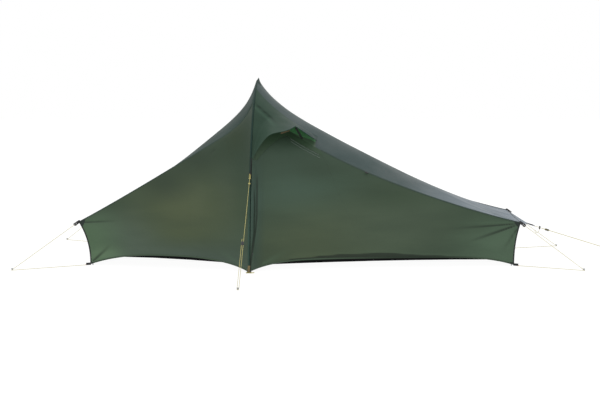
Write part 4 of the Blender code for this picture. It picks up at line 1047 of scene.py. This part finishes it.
def make_corner(side, face, facing):
    tag = f"{side.name}_{face}"
    reach, half = ((1.261, 0.552) if side is HEAD else (1.756, 0.425))
    centre = Vector((side.sign * reach, facing * half, 0))
    top = Vector((side.sign * (side.length + side.lean), facing * side.top_half, CORNER_HEIGHT))
    low = Vector((side.sign * side.length, facing * side.base_half, HEM_CLEARANCE))
    clear = Vector((side.sign * (2 * GAP + 1.5 * SOLID_THICKNESS), 0, 0))
    pull = (centre - top).normalized()
    across = pull.cross(Vector((0, 0, 1))).normalized()
    start = top + clear + pull * (BUCKLE_HALF + LOOSE)
    roll = Matrix.Rotation(-facing * side.sign * BUCKLE_ROLL, 4, "X")
    holder = frame_along(start, pull, across) @ roll
    holes = [rounded(0.0030, 0.0130, 0.0012, (x, 0)) for x in (-0.0095, -0.0010)]
    holes.append(rounded(0.0034, 0.0060, 0.0012, (0.0090, 0)))
    build = plate_build(rounded(0.0296, 0.0176, 0.0030), holes, 0.0038, 0.0007)
    from_build(f"ladder_buckle_{tag}", build, holder, black_plastic, [f"corner_buckle_{tag}"])
    strap = [holder @ Vector((x, 0, z)) for x, z in (
        (-0.0260, 0.0006), (-0.0170, 0.0014), (-0.0125, 0.0030), (-0.0050, 0.0031), (-0.0020, 0.0024),
        (-0.0008, 0.0), (-0.0020, -0.0024), (-0.0050, -0.0031), (-0.0125, -0.0030), (-0.0260, -0.0012),
    )]
    turned = holder.to_3x3()
    webbing(f"corner_strap_{tag}", strap, turned @ Vector((0, 1, 0)), 0.0140,
            lift=turned @ Vector((0, 0, 1)))

    level = Vector((centre.x - low.x, centre.y - low.y, 0)).normalized()
    middle = low + clear + level * (TAB_HALF + LOOSE)
    middle.z = 0.001 + GAP
    sideways = level.cross(Vector((0, 0, 1)))
    run = [middle + level * x + sideways * y + Vector((0, 0, 0.0062)) for x, y in (
        (-0.0160, 0.0014), (-0.0060, 0.0013), (0.0060, 0.0010), (0.0102, 0.0004), (0.0106, -0.0003),
        (0.0060, -0.0010), (-0.0060, -0.0013), (-0.0160, -0.0014),
    )]
    webbing(f"bottom_tab_{tag}", run, (0, 0, 1), 0.0125, thickness=0.0009, nodes=[f"corner_tab_{tag}"],
            lift=sideways)
    tab_end = middle + level * (TAB_HALF + GAP)
    knot_at = tab_end + Vector((0, 0, CORD_RADIUS + LOOSE))
    knot = knot_piece(f"corner_knot_{tag}", knot_at, 0.0022, orange_web)

    top_end = start + pull * (BUCKLE_HALF + GAP)
    low_end = tab_end + Vector((0, 0, CORD_RADIUS))
    toward_top = math.atan2(top_end.y - centre.y, top_end.x - centre.x)
    toward_low = math.atan2(low_end.y - centre.y, low_end.x - centre.x)
    hand = -1 if (toward_low - toward_top + math.pi) % math.tau - math.pi > 0 else 1
    first, last = toward_top + hand * math.pi / 2, toward_low - hand * math.pi / 2
    bend = bend_round(centre, first, first + (last - first) * hand % math.tau * hand)
    points = straight(top_end, bend[0], 4)[:-1] + bend + straight(bend[-1], low_end, 3)[1:]
    peg = make_peg(tag, centre)
    cord_piece(f"line_{tag}", points, f"corner_line_{tag}")
    cord_tail(f"cord_tail_{tag}", [
        top_end - pull * 0.004 + across * 0.004 * s + Vector((0, 0, -0.012 * s * s)) - pull * 0.012 * s
        for s in (0, 0.4, 0.8, 1.2)
    ])


for side in (HEAD, FOOT):
    for face, facing in FACES:
        make_corner(side, face, facing)

# A spare cleat on the end line, with the line's short tail hanging from it, and the awning's strap
cleat_at = end_line[0] + (end_line[1] - end_line[0]).normalized() * 0.027
cleat = plate_build(
    rounded(0.0180, 0.0080, 0.0028), [rounded(0.0034, 0.0034, 0.0015, (0, 0))], 0.0050, 0.0008
)
from_build("end_cleat", cleat, frame_along(cleat_at, (0.12, 0, 1), (1, 0, 0)), black_plastic)
tail_path = []
for share in spread(0, 1, 14):
    sag = -0.016 * math.sin(math.pi * min(1.0, share * 1.15)) - 0.010 * share
    tail_path.append(cleat_at + Vector((-0.034 * share, -0.004 - 0.003 * share, -0.009 + sag)))
cord_tail("end_line_tail", tail_path)
strap_path = [
    BEAK_TIP + Vector((x, 0, 0.0022 - 0.30 * x)) for x in (-0.016, -0.006, 0.004, 0.014, 0.022)
]
webbing("awning_strap", strap_path, (0, 0.8, 0.6), 0.0090)


# Flysheet panels


def fine(start, end, steps, edge=0.008):
    """Stations between two ends, with close ones at both for the seams."""
    inner = spread(start, end, steps)
    step = math.copysign(edge, end - start)
    return sorted({*inner, start + step * 0.5, start + step, end - step, end - step * 0.5},
                  reverse=end < start)


# Close stations up a panel, from its hem to its ridge
RISES = fine(0.0, 1.0, 60, 0.010)
EDGE_FIRST = PANEL_START - TUCK


def wall_panel(name, places, side, facing, paint, nodes, rests, body=ROOT):
    grid = [[on_wall(side, facing, *place) for place in column] for column in places]
    folds = [[wall_fold(side, facing, *place) for place in column] for column in places]
    cloth(name, grid, side, paint, rests, nodes, body=body, folds=folds)


for side, facing, paint in (
    (HEAD, -1, wall_head_cloth), (HEAD, 1, wall_head_cloth), (FOOT, 1, wall_foot_cloth),
):
    face = "front" if facing < 0 else "back"
    places = [
        [(mix(EDGE_FIRST, end_reach(side, v), u), v) for v in RISES] for u in fine(0.0, 1.0, 110, 0.006)
    ]
    wall_panel(f"wall_{face}_{side.name}", places, side, facing, paint,
               [f"fly_{face}_{side.name}"], ["pole_sleeve"])

fixed_places = [
    [(mix(hinge_at(v) + SEAM_GAP / 4, end_reach(FOOT, v), u), v) for v in RISES]
    for u in fine(0.0, 1.0, 80, 0.006)
]
wall_panel("wall_front_foot", fixed_places, FOOT, -1, wall_foot_cloth, ["fly_front_foot"], ["end_beak"])


def door_top(u):
    """The rise of the door's top edge at a share along it."""
    return door_top_rise(mix(TAPE_END, DOOR_TOP_REACH, u))


def door_place(u, v):
    """Reach and rise of a point between the zip tape and the hinge."""
    return mix(TAPE_END + SEAM_GAP / 2, hinge_at(v) - SEAM_GAP / 4, u), v


door_places = [[door_place(u, v * door_top(u)) for v in RISES] for u in fine(0.0, 1.0, 60, 0.012)]
wall_panel("door", door_places, FOOT, -1, wall_foot_cloth, ["fly_door"], ["door_zip"], body=DOOR_BODY)


def roof_grids(side, places):
    """The points at a grid of places on the roof, and their folds."""
    return [
        [[make(side, *place) for place in column] for column in places] for make in (on_roof, roof_fold)
    ]


roof_stations = fine(-1.0, 1.0, 44, 0.02)
head_points, head_folds = roof_grids(HEAD, [
    [(reach, across) for across in roof_stations] for reach in fine(EDGE_FIRST, end_reach(HEAD, 1.0), 80)
])
cloth("roof_head", head_points, HEAD, roof_head_cloth, ["pole_sleeve"], ["fly_roof_head"],
      folds=head_folds)

# The vent's netting fills a long triangle; below and beyond it is cloth, and the strip below it has a
# painted glow.
VENT_START, VENT_STOP = 0.150, 0.334
VENT_ROWS, SILL_ROWS = 12, 4


def vent_low(reach):
    """The netting's lower edge, as a place across the roof."""
    return mix(-0.990, -0.850, smooth((reach - 0.19) / (VENT_STOP - 0.19)) ** 1.1)


def vent_stations(reach):
    low = vent_low(reach)
    return spread(-1.0, low, SILL_ROWS)[:-1] + spread(low, VENT_EDGE, VENT_ROWS - SILL_ROWS)


vent_reaches = spread(VENT_START, VENT_STOP, 40)
roof_reaches = (
    [EDGE_FIRST, 0.012] + spread(TAPE_END, VENT_START, 14) + vent_reaches[1:]
    + fine(VENT_STOP, end_reach(FOOT, 1.0), 64)[1:]
)
vent_first, vent_last = roof_reaches.index(VENT_START), roof_reaches.index(VENT_STOP)
other_stations = fine(VENT_EDGE, 1.0, 36, 0.01)[1:]
roof_points, roof_folds = roof_grids(FOOT, [
    [(reach, across) for across in vent_stations(reach) + other_stations] for reach in roof_reaches
])


def sill_cell(column, row):
    return row < SILL_ROWS and vent_first <= column < vent_last


def roof_cell(column, row):
    return row >= VENT_ROWS or not vent_first <= column < vent_last


cloth("roof_foot", roof_points, FOOT, roof_cloth, ["pole_sleeve"], ["fly_roof_foot"],
      keep=roof_cell, folds=roof_folds)
cloth("vent_sill", roof_points, FOOT, sill_cloth, ["roof_foot"], ["fly_roof_foot"], keep=sill_cell,
      cut=[column[:SILL_ROWS + 1] for column in roof_points[vent_first:vent_last + 1]])
vent_grid = [
    [on_roof(FOOT, reach, across) for across in spread(vent_low(reach), VENT_EDGE, 16)]
    for reach in vent_reaches
]
cloth("vent_net", vent_grid, FOOT, vent_net, ["roof_foot"], ["vent_mesh"])

# The strip of wall under the hood, in cloth with a painted glow.
strip_places = [
    [door_place(u, v) for v in spread(door_top(u) + 0.002, 1.0, 8)] for u in spread(0.0, 1.0, 60)
]
wall_panel("wall_under_hood", strip_places, FOOT, -1, lit_cloth, ["vent_mesh"], ["roof_foot"])


# End walls and the foot end's awning


def end_point(side, across, rise):
    reach = end_reach(side, rise)
    corner = wall_point(side, 1, reach, rise)
    sag = -0.008 * (1 - across**2) * math.sin(math.pi * rise)
    ripple = 0.0016 * noise.noise(Vector((across * 5, rise * 4, side.sign * 3)))
    for a, b, lift_by in ((-1, 1, 0.004), (1, 1, 0.004), (-1, 0, -0.003), (1, 0, -0.003)):
        ripple += crease(across, rise, (a, b), (a * 0.1, 0.5), 0.09, lift_by)
    push = GAP + SOLID_THICKNESS + (sag + ripple) * smooth((1 - abs(across)) / 0.1)
    return Vector((side.sign * (reach + push), corner.y * across, corner.z))


for side in (HEAD, FOOT):
    grid = [[end_point(side, a, v) for v in fine(0.0, 1.0, 24, 0.02)] for a in fine(-1.0, 1.0, 40, 0.02)]
    cloth(f"end_wall_{side.name}", grid, Vector((side.sign, 0, 0)), end_cloth,
          [f"wall_front_{side.name}", f"wall_back_{side.name}"], [f"fly_end_{side.name}"])


def beak_point(share, across):
    start = FOOT.length + FOOT.lean + 2 * GAP + 1.5 * SOLID_THICKNESS
    half = mix(FOOT.top_half - 0.004, 0.008, smooth(share) * 0.25 + share * 0.75)
    height = mix(CORNER_HEIGHT - SOLID_THICKNESS, BEAK_TIP.z, share)
    sag = -0.004 * (1 - across**2) * math.sin(math.pi * min(1.0, share * 1.1))
    edge = 0.0014 * math.sin(across * 19) * (1 - share)
    return Vector((mix(start, BEAK_TIP.x, share), half * across, height + sag + edge))


beak_grid = [[beak_point(s, a) for a in spread(-1.0, 1.0, 36)] for s in spread(0.0, 1.0, 20)]
cloth("foot_awning", beak_grid, UP, roof_cloth, ["end_wall_foot"], ["end_beak"])


# Hood

HOOD_ROWS = 26
RIM_SAG, RIM_SAG_START = 0.021, 0.085


def polar(point):
    return math.atan2(-point.y, point.z - HOOD_CENTRE_Z), math.hypot(point.y, point.z - HOOD_CENTRE_Z)


def fly_outline(reach):
    outline = [roof_point(FOOT, reach, -step / 40) for step in range(41)]
    outline += [wall_point(FOOT, -1, reach, 1 - step / 40) for step in range(1, 41)]
    return [polar(point) for point in outline]


def clear_of(outline, point, stand_off):
    turn, radius = polar(point)
    for (near, near_radius), (far, far_radius) in zip(outline, outline[1:]):
        if near <= turn <= far:
            lowest = mix(near_radius, far_radius, (turn - near) / (far - near)) + stand_off
            radius = max(radius, lowest)
            break
    return Vector((point.x, -radius * math.sin(turn), HOOD_CENTRE_Z + radius * math.cos(turn)))


def hood_rim(reach):
    """The hood's free edge, which hangs a little between the arch and its strut."""
    point = hood_edge(reach)
    along = clamp((reach - RIM_SAG_START) / (HOOD_PEAK.x - RIM_SAG_START))
    point.z -= RIM_SAG * math.sin(math.pi * along ** 1.3)
    return point


def hood_column(reach):
    outline = fly_outline(reach)
    root, edge = roof_point(FOOT, reach, VENT_EDGE), hood_rim(reach)
    sides = smooth((reach - PANEL_START) / 0.03) * smooth((HOOD_END_X - reach) / 0.05)
    column = []
    for row in range(HOOD_ROWS + 1):
        share = row / HOOD_ROWS
        stand_off = mix(0.0016, 0.0050, smooth(share * 4) * mix(0.35, 1.0, sides))
        point = clear_of(outline, root.lerp(edge, share), stand_off)
        crown = 0.010 * math.sin(math.pi * share) * smooth(sides) * smooth((reach - 0.05) / 0.15)
        column.append(point + outward(FOOT, point) * (crown + 0.0012 * billow(point, 14.0, 4.0) * sides))
    return column


hood_reaches = spread(PANEL_START, HOOD_PEAK.x, 34) + spread(HOOD_PEAK.x, HOOD_END_X, 18)[1:]
hood_grid = [hood_column(reach) for reach in hood_reaches]


def hood_fold(reach, point):
    """Painted shade in a line where the ridge shows through, with a painted highlight below it, near the
    arch.
    """
    off = point.z - roof_point(FOOT, reach, -1.0).z
    near = smooth((0.150 - reach) / 0.07)
    dark = math.exp(-((off / 0.006) ** 2))
    return near * (0.7 * math.exp(-(((off + 0.020) / 0.012) ** 2)) - dark)


hood_folds = [[hood_fold(reach, p) for p in column] for reach, column in zip(hood_reaches, hood_grid)]
cloth("hood", hood_grid, FOOT, hood_cloth, ["roof_foot", "pole_sleeve"], ["vent_hood"],
      thickness=0.0009, folds=hood_folds)
tube("hood_binding", [column[-1] for column in hood_grid[4:]], 0.0016, hood_cloth, flat=0.6)
tie_path = [
    hood_rim(reach) + Vector((0, 0.004, -0.0050 - 0.0015 * math.sin(reach * 90)))
    for reach in spread(0.158, 0.205, 8)
]
webbing("hood_tie", tie_path, (0, 0.3, 1), 0.0085, orange_dark, thickness=0.0009,
        lift=Vector((0, -1, 0)))
strut_low, strut_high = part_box("vent_strut")
strut_path = straight((strut_high.x - 0.002, strut_high.y - 0.004, strut_low.z + 0.006),
                      (strut_low.x + 0.004, strut_low.y + 0.010, strut_high.z - 0.008), 6)
tube("strut_cover", strut_path, 0.0056, zip_cloth, body="vent_prop", sides=12)


# Edges, seams and reinforcements

TAPE = 0.0006
HEM_WIDTH = 0.008


def hem_tape(name, side, facing, low, high, body=ROOT):
    """A tape along a hem, from reach low to reach high, which are given as functions of the rise."""
    grid = []
    for u in spread(0.0, 1.0, 90):
        tall = wall_tall(side, share_along(side, mix(low(0.0), high(0.0), u), 0.0))
        rises = [share * HEM_WIDTH / tall for share in (0, 0.5, 1)]
        grid.append([on_wall(side, facing, mix(low(v), high(v), u), v, 0.0009) for v in rises])
    shell(name, grid, side, hem_cloth if side is HEAD else hem_foot_cloth, body=body, thickness=TAPE)


def end_of(side):
    return lambda rise: end_reach(side, rise)


def arch_of(rise):
    return PANEL_START


hem_tape("hem_front_head", HEAD, -1, arch_of, end_of(HEAD))
hem_tape("hem_back_head", HEAD, 1, arch_of, end_of(HEAD))
hem_tape("hem_back_foot", FOOT, 1, arch_of, end_of(FOOT))
hem_tape("hem_front_foot", FOOT, -1, hinge_at, end_of(FOOT))
hem_tape("hem_door", FOOT, -1, lambda rise: TAPE_END, hinge_at, body=DOOR_BODY)


def edge_tape(name, side, facing):
    """The dark tape down an end edge of a wall."""
    grid = [
        [on_wall(side, facing, end_reach(side, v) - 0.0045 * share, v, 0.0010) for share in (0, 0.5, 1)]
        for v in spread(0.0, 1.0, 40)
    ]
    shell(name, grid, side, tape_cloth, thickness=TAPE)


def corner_patch(name, side, facing, at_top):
    """A dark reinforcement in the corner of a wall, longer along the ridge than down the edge."""
    long, deep = (0.034, 0.026) if at_top else ((0.018, 0.012) if side is HEAD else (0.036, 0.013))
    grid = []
    for share in spread(0.0, 1.0, 12):
        column = []
        for up in spread(0.0, 1.0, 6):
            rise = up * deep * (1 - (1 - share) ** 1.6) / (CORNER_HEIGHT - HEM_CLEARANCE)
            v = 1 - rise if at_top else rise
            column.append(on_wall(side, facing, end_reach(side, v) - long * (1 - share), v, 0.0014))
        grid.append(column)
    shell(name, grid, side, patch_cloth, thickness=TAPE)


def end_binding(name, side, points):
    """A rolled binding over the seam where an end wall meets a side wall or the roof."""
    tube(name, [p + Vector((side.sign * 0.0010, 0, 0)) for p in points], 0.0018, tape_cloth, sides=8)


for side in (HEAD, FOOT):
    top_edge = [on_roof(side, end_reach(side, 1.0), across) for across in spread(-0.99, 0.99, 40)]
    end_binding(f"binding_top_{side.name}", side, top_edge)
    for face, facing in FACES:
        tag = f"{face}_{side.name}"
        upright = [on_wall(side, facing, end_reach(side, v), v) for v in spread(0.0, 1.0, 30)]
        end_binding(f"binding_{tag}", side, upright)
        edge_tape(f"edge_{tag}", side, facing)
        corner_patch(f"patch_top_{tag}", side, facing, True)
        corner_patch(f"patch_low_{tag}", side, facing, False)


def ridge_seam(name, side, facing, start):
    """A narrow strip of cloth over the seam between a wall and the roof."""
    path = [
        on_roof(side, reach, facing * 0.997, 0.0004)
        for reach in spread(start, end_reach(side, 1.0) - 0.002, 110)
    ]
    grid = []
    for number, point in enumerate(path):
        before, after = path[max(0, number - 1)], path[min(len(path) - 1, number + 1)]
        out = outward(side, point)
        across = (after - before).cross(out).normalized()
        grid.append([point + out * 0.0004 + across * 0.0075 * (s - 0.5) for s in (0, 0.33, 0.67, 1)])
    shell(name, grid, side, seam_cloth, thickness=TAPE)


for side in (HEAD, FOOT):
    for face, facing in FACES:
        seam_start = DOOR_TOP_REACH if (side, facing) == (FOOT, -1) else 0.006
        ridge_seam(f"ridge_seam_{face}_{side.name}", side, facing, seam_start)


# Sleeve, pole foot and arch


def arch_path(start, end, count):
    """Points of the arch's centre line between two shares of its turn, door side first."""
    path = []
    for step in range(count + 1):
        turn = math.pi * mix(start, end, step / count)
        across = -math.copysign(abs(math.cos(turn)) ** (2 / ARCH_POWER), math.cos(turn))
        height = ARCH_TOP * max(0.0, math.sin(turn)) ** (2 / ARCH_POWER)
        path.append(Vector((0, ARCH_HALF * across, height)))
    return path


sleeve_path = [p for p in arch_path(0.0, 1.0, 400) if p.z > 0.024]
tube("sleeve", sleeve_path, SLEEVE_OUTER, sleeve_cloth, ["pole_sleeve"], sides=20)


def peak_point(along, across):
    """A cap over the arch's top, drawn up to a soft point."""
    half = arch_half_width(RIDGE_HEIGHT)
    side = FOOT if along > 0 else HEAD
    top = roof_point(side, max(abs(along), PANEL_START), across / half).z
    if abs(along) < SLEEVE_OUTER:
        top = max(top, arch_height(across) + math.sqrt(SLEEVE_OUTER**2 - along**2))
    tip = 0.0125 * math.exp(-((along - 0.0055) / 0.0050) ** 2 - (across / 0.022) ** 2)
    return Vector((along, across, top + 0.0009 + tip))


peak_grid = [[peak_point(x, y) for y in spread(-0.055, 0.055, 30)] for x in spread(-0.016, 0.020, 36)]
cloth("peak_cap", peak_grid, UP, roof_head_cloth, ["sleeve"])

# What of the solids shows: how each node's name begins, and its material
PAINTS = {
    "pole_section": alloy, "corner_strut": alloy, "pole_shock_cord": shock_braid,
    "vent_strut": black_plastic, "guy_hook_end": black_plastic, "door_toggle": black_plastic,
    "zip_slider": zip_plastic, "zip_pull": zip_plastic, "foot_eyelet": web_cloth,
}
for node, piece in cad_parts.items():
    for start, paint in PAINTS.items():
        if node.startswith(start):
            piece.data.materials.clear()
            piece.data.materials.append(paint)

for face, facing in FACES:
    build = bmesh.new()
    profile = [
        (0.0044, 0.002), (0.0058, 0.002), (0.0062, 0.003), (0.0062, 0.020), (0.0068, 0.021),
        (0.0068, 0.0235), (0.0058, 0.0245), (0.0044, 0.0245),
    ]
    lathe(build, [*profile, profile[0]], 24)
    foot = Matrix.Translation((0, facing * ARCH_HALF, 0))
    from_build(f"pole_cup_{face}", build, foot, black_plastic)
    strap = [Vector((x, facing * (ARCH_HALF + 0.0085 + 0.004 * s), mix(0.038, 0.004, s)))
             for s, x in ((0, 0.002), (0.3, 0.001), (0.6, 0.0), (0.85, 0.0), (1.0, 0.0))]
    webbing(f"foot_strap_{face}", strap, (1, 0, 0), 0.012, khaki_web)
    foot_loop = [
        Vector((0.008 + 0.022 * math.cos(turn), facing * (ARCH_HALF + 0.017) + 0.007 * math.sin(turn),
                0.0016 + 0.0012 * abs(math.cos(turn))))
        for turn in turns(40)
    ]
    tube(f"foot_loop_{face}", foot_loop, 0.0014, cord_braid, closed=True, sides=8)
    attach = Vector((0, facing * GUY_HALF, GUY_HEIGHT))
    tab = [attach + Vector((0, -facing * 0.004, dz)) for dz in (0.020, 0.012, 0.004, -0.004, -0.010)]
    webbing(f"guy_tab_{face}", tab, (1, 0, 0), 0.010)
    cover = [
        Vector((0.003, facing * (arch_half_width(z) + SLEEVE_OUTER + 0.0006), z))
        for z in spread(0.506, 0.589, 6)
    ]
    webbing(f"sleeve_patch_{face}", cover, (1, 0, 0), 0.006, zip_cloth,
            lift=Vector((0, facing, 0.3)).normalized())
    eye = [
        attach + Vector((0.0030 * math.cos(turn), facing * (0.0030 + 0.0020 * math.sin(turn)),
                         0.012 * math.sin(turn)))
        for turn in turns(30)
    ]
    tube(f"guy_eye_{face}", eye, 0.0013, cord_braid, closed=True, sides=8)
    down_line = (Vector((0, facing * GUY_PEG_REACH, 0)) - attach).normalized()
    knot_piece(f"guy_knot_{face}", attach + down_line * 0.016, 0.0040)
    knot_piece(f"guy_knot_low_{face}", attach + down_line * 0.052, 0.0046)


# Zip tape, its coil, and the flap over them

COIL_TURNS = 350


def tape_points(rises, lift=0.0):
    """A grid over the zip tape, lifted off the wall."""
    reaches = spread(EDGE_FIRST, TAPE_END - SEAM_GAP / 2, 5)
    return [[on_wall(FOOT, -1, reach, v, lift) for v in rises] for reach in reaches]


cloth("door_zip", tape_points(RISES), FOOT, zip_cloth, ["pole_sleeve"], ["door_zip_tape"])
coil = []
for step in range(4 * COIL_TURNS):
    v = step / (4 * COIL_TURNS) * door_top_rise(TAPE_END)
    wave = 0.0009 * math.sin(step * math.tau / 4)
    coil.append(on_wall(FOOT, -1, TAPE_END - 0.0022 + wave, v, 0.0009))
tube("zip_coil", coil, 0.0005, zip_plastic, sides=5)

# The storm flap is gathered over the zip. Its bulge, as (reach, lift), leaves room for the slider
FLAP_LIFT = [
    (0.0078, 0.0034), (0.0084, 0.0080), (0.0100, 0.0112), (0.0125, 0.0128), (0.0200, 0.0130),
    (0.0240, 0.0116), (0.0280, 0.0076), (0.0330, 0.0048), (0.0400, 0.0038), (0.0500, 0.0026),
    (0.0640, 0.0010),
]
# Each fold's places as (rise, reach), its width, its depth and how far up the flap it shows
FLAP_FOLDS = [
    (((0.0, 0.004), (0.22, 0.025), (0.40, 0.027), (0.56, 0.019)), 0.0028, -1.2, (-0.1, 0.55)),
    (((0.0, 0.006), (0.13, 0.020), (0.25, 0.033), (0.33, 0.037), (0.64, 0.035)),
     0.0046, -1.3, (-0.1, 0.62)),
    (((0.0, 0.016), (0.20, 0.036), (0.36, 0.049), (0.64, 0.046)), 0.0030, 0.5, (0.0, 0.60)),
    (((0.0, 0.012), (0.64, 0.014)), 0.0018, 0.4, (0.0, 0.55)),
    (((0.0, 0.010), (0.20, 0.030), (0.36, 0.034), (0.64, 0.031)), 0.0020, 0.4, (0.0, 0.60)),
]
FLAP_EDGE, FLAP_END, FLAP_TOP = 0.0078, 0.0640, 0.668


def along_line(places, where):
    """The value at a place, between the (place, value) pairs of a list."""
    for (near, low), (far, high) in zip(places, places[1:]):
        if where <= far:
            return mix(low, high, max(0.0, (where - near) / (far - near)))
    return places[-1][1]


def flap_folds_at(reach, v):
    total = 0.0
    for places, width, depth, (first, last) in FLAP_FOLDS:
        off = (reach - along_line(places, v)) / width
        shown = smooth((v - first) / 0.04) * smooth((last - v) / 0.12)
        uneven = 1 + 0.35 * noise.noise(Vector((v * 9, depth * 7, 4.0)))
        total += depth * math.exp(-off * off) * shown * uneven
    return total


# Each point's fold mark also gives the flap painted shade in its valleys and a painted highlight on its
# crests.
flap_grid, flap_folds = [], []
for reach in spread(FLAP_EDGE, FLAP_END, 46):
    edge = smooth((reach - FLAP_EDGE) / 0.002)
    column, marks = [], []
    for v in spread(0.004, FLAP_TOP, 130):
        mark = flap_folds_at(reach, v) * edge
        deep = 1 + 0.20 * noise.noise(Vector((v * 5, reach * 90, 9.0))) * smooth((reach - 0.024) / 0.006)
        taper = mix(0.45, 1.0, smooth((v - 0.01) / 0.06)) * (1 - smooth((v - 0.595) / 0.065))
        lift = max(0.0011, along_line(FLAP_LIFT, reach) * deep * taper) + 0.0013 * mark
        column.append(on_wall(FOOT, -1, reach, v, lift))
        marks.append(clamp(mark, -1.0))
    flap_grid.append(column)
    flap_folds.append(marks)
cloth("zip_flap", flap_grid, FOOT, flap_cloth, ["door"], held="hung", body=DOOR_BODY, folds=flap_folds)

# A cloth cover over the top of the tape, from the flap's top up under the hood, with the painted glow of
# the cloth there.
cover_grid = tape_points(spread(FLAP_TOP + 0.0015, 0.985, 40), 0.0009)
cloth("zip_end_cover", cover_grid, FOOT, lit_cloth, ["door_zip"])

for number, drop in enumerate((0.002, 0.015)):
    path = []
    for u in spread(0.50, 0.93, 40):
        top = door_top(u)
        reach = mix(TAPE_END, hinge_at(top), u)
        v = top - (drop + 0.002) / wall_tall(FOOT, share_along(FOOT, reach, 1.0))
        path.append(on_wall(FOOT, -1, mix(TAPE_END, hinge_at(v), u) - 0.001 * u, v, 0.0012))
    tube(f"door_top_piping_{number + 1}", path, 0.0012, pale_piping, body=DOOR_BODY, sides=8)


# Inner tent


def finer(mesh, levels):
    helper = placed("helper", mesh.copy())
    modifier = helper.modifiers.new("fine", "SUBSURF")
    modifier.levels = modifier.render_levels = levels
    modifier.subdivision_type = "SIMPLE"
    graph = bpy.context.evaluated_depsgraph_get()
    made = bpy.data.meshes.new_from_object(helper.evaluated_get(graph))
    bpy.data.objects.remove(helper)
    made.materials.clear()
    return made


def rumpled(node, name, paint, body, levels, relief):
    """A finer copy of an inner panel, gently rumpled, in place of its solid."""
    mesh = finer(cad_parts[node].data, levels)
    mesh.name = name
    for vertex in mesh.vertices:
        point = vertex.co
        out = Vector((0, point.y - 0.06, max(0.0, point.z - 0.1) * 0.8)).normalized()
        lift = relief * (noise.noise(point * 5.0) + 0.5 * noise.noise(point * 14.0))
        vertex.co = point + out * lift * smooth((point.z - 0.004) / 0.06)
    layer = mesh.uv_layers[0] if mesh.uv_layers else mesh.uv_layers.new(name="flat")
    for loop in mesh.loops:
        point = mesh.vertices[loop.vertex_index].co
        layer.data[loop.index].uv = (point.x, point.z + abs(point.y))
    made = finish_piece(name, mesh, paint, [node], body)


rumpled("inner_canopy", "inner_tent", inner_net, ROOT, 2, 0.003)
rumpled("inner_door", "inner_door_net", inner_net, "inner_door_panel", 3, 0.002)
rumpled("inner_floor", "bathtub_floor", groundsheet, ROOT, 2, 0.002)
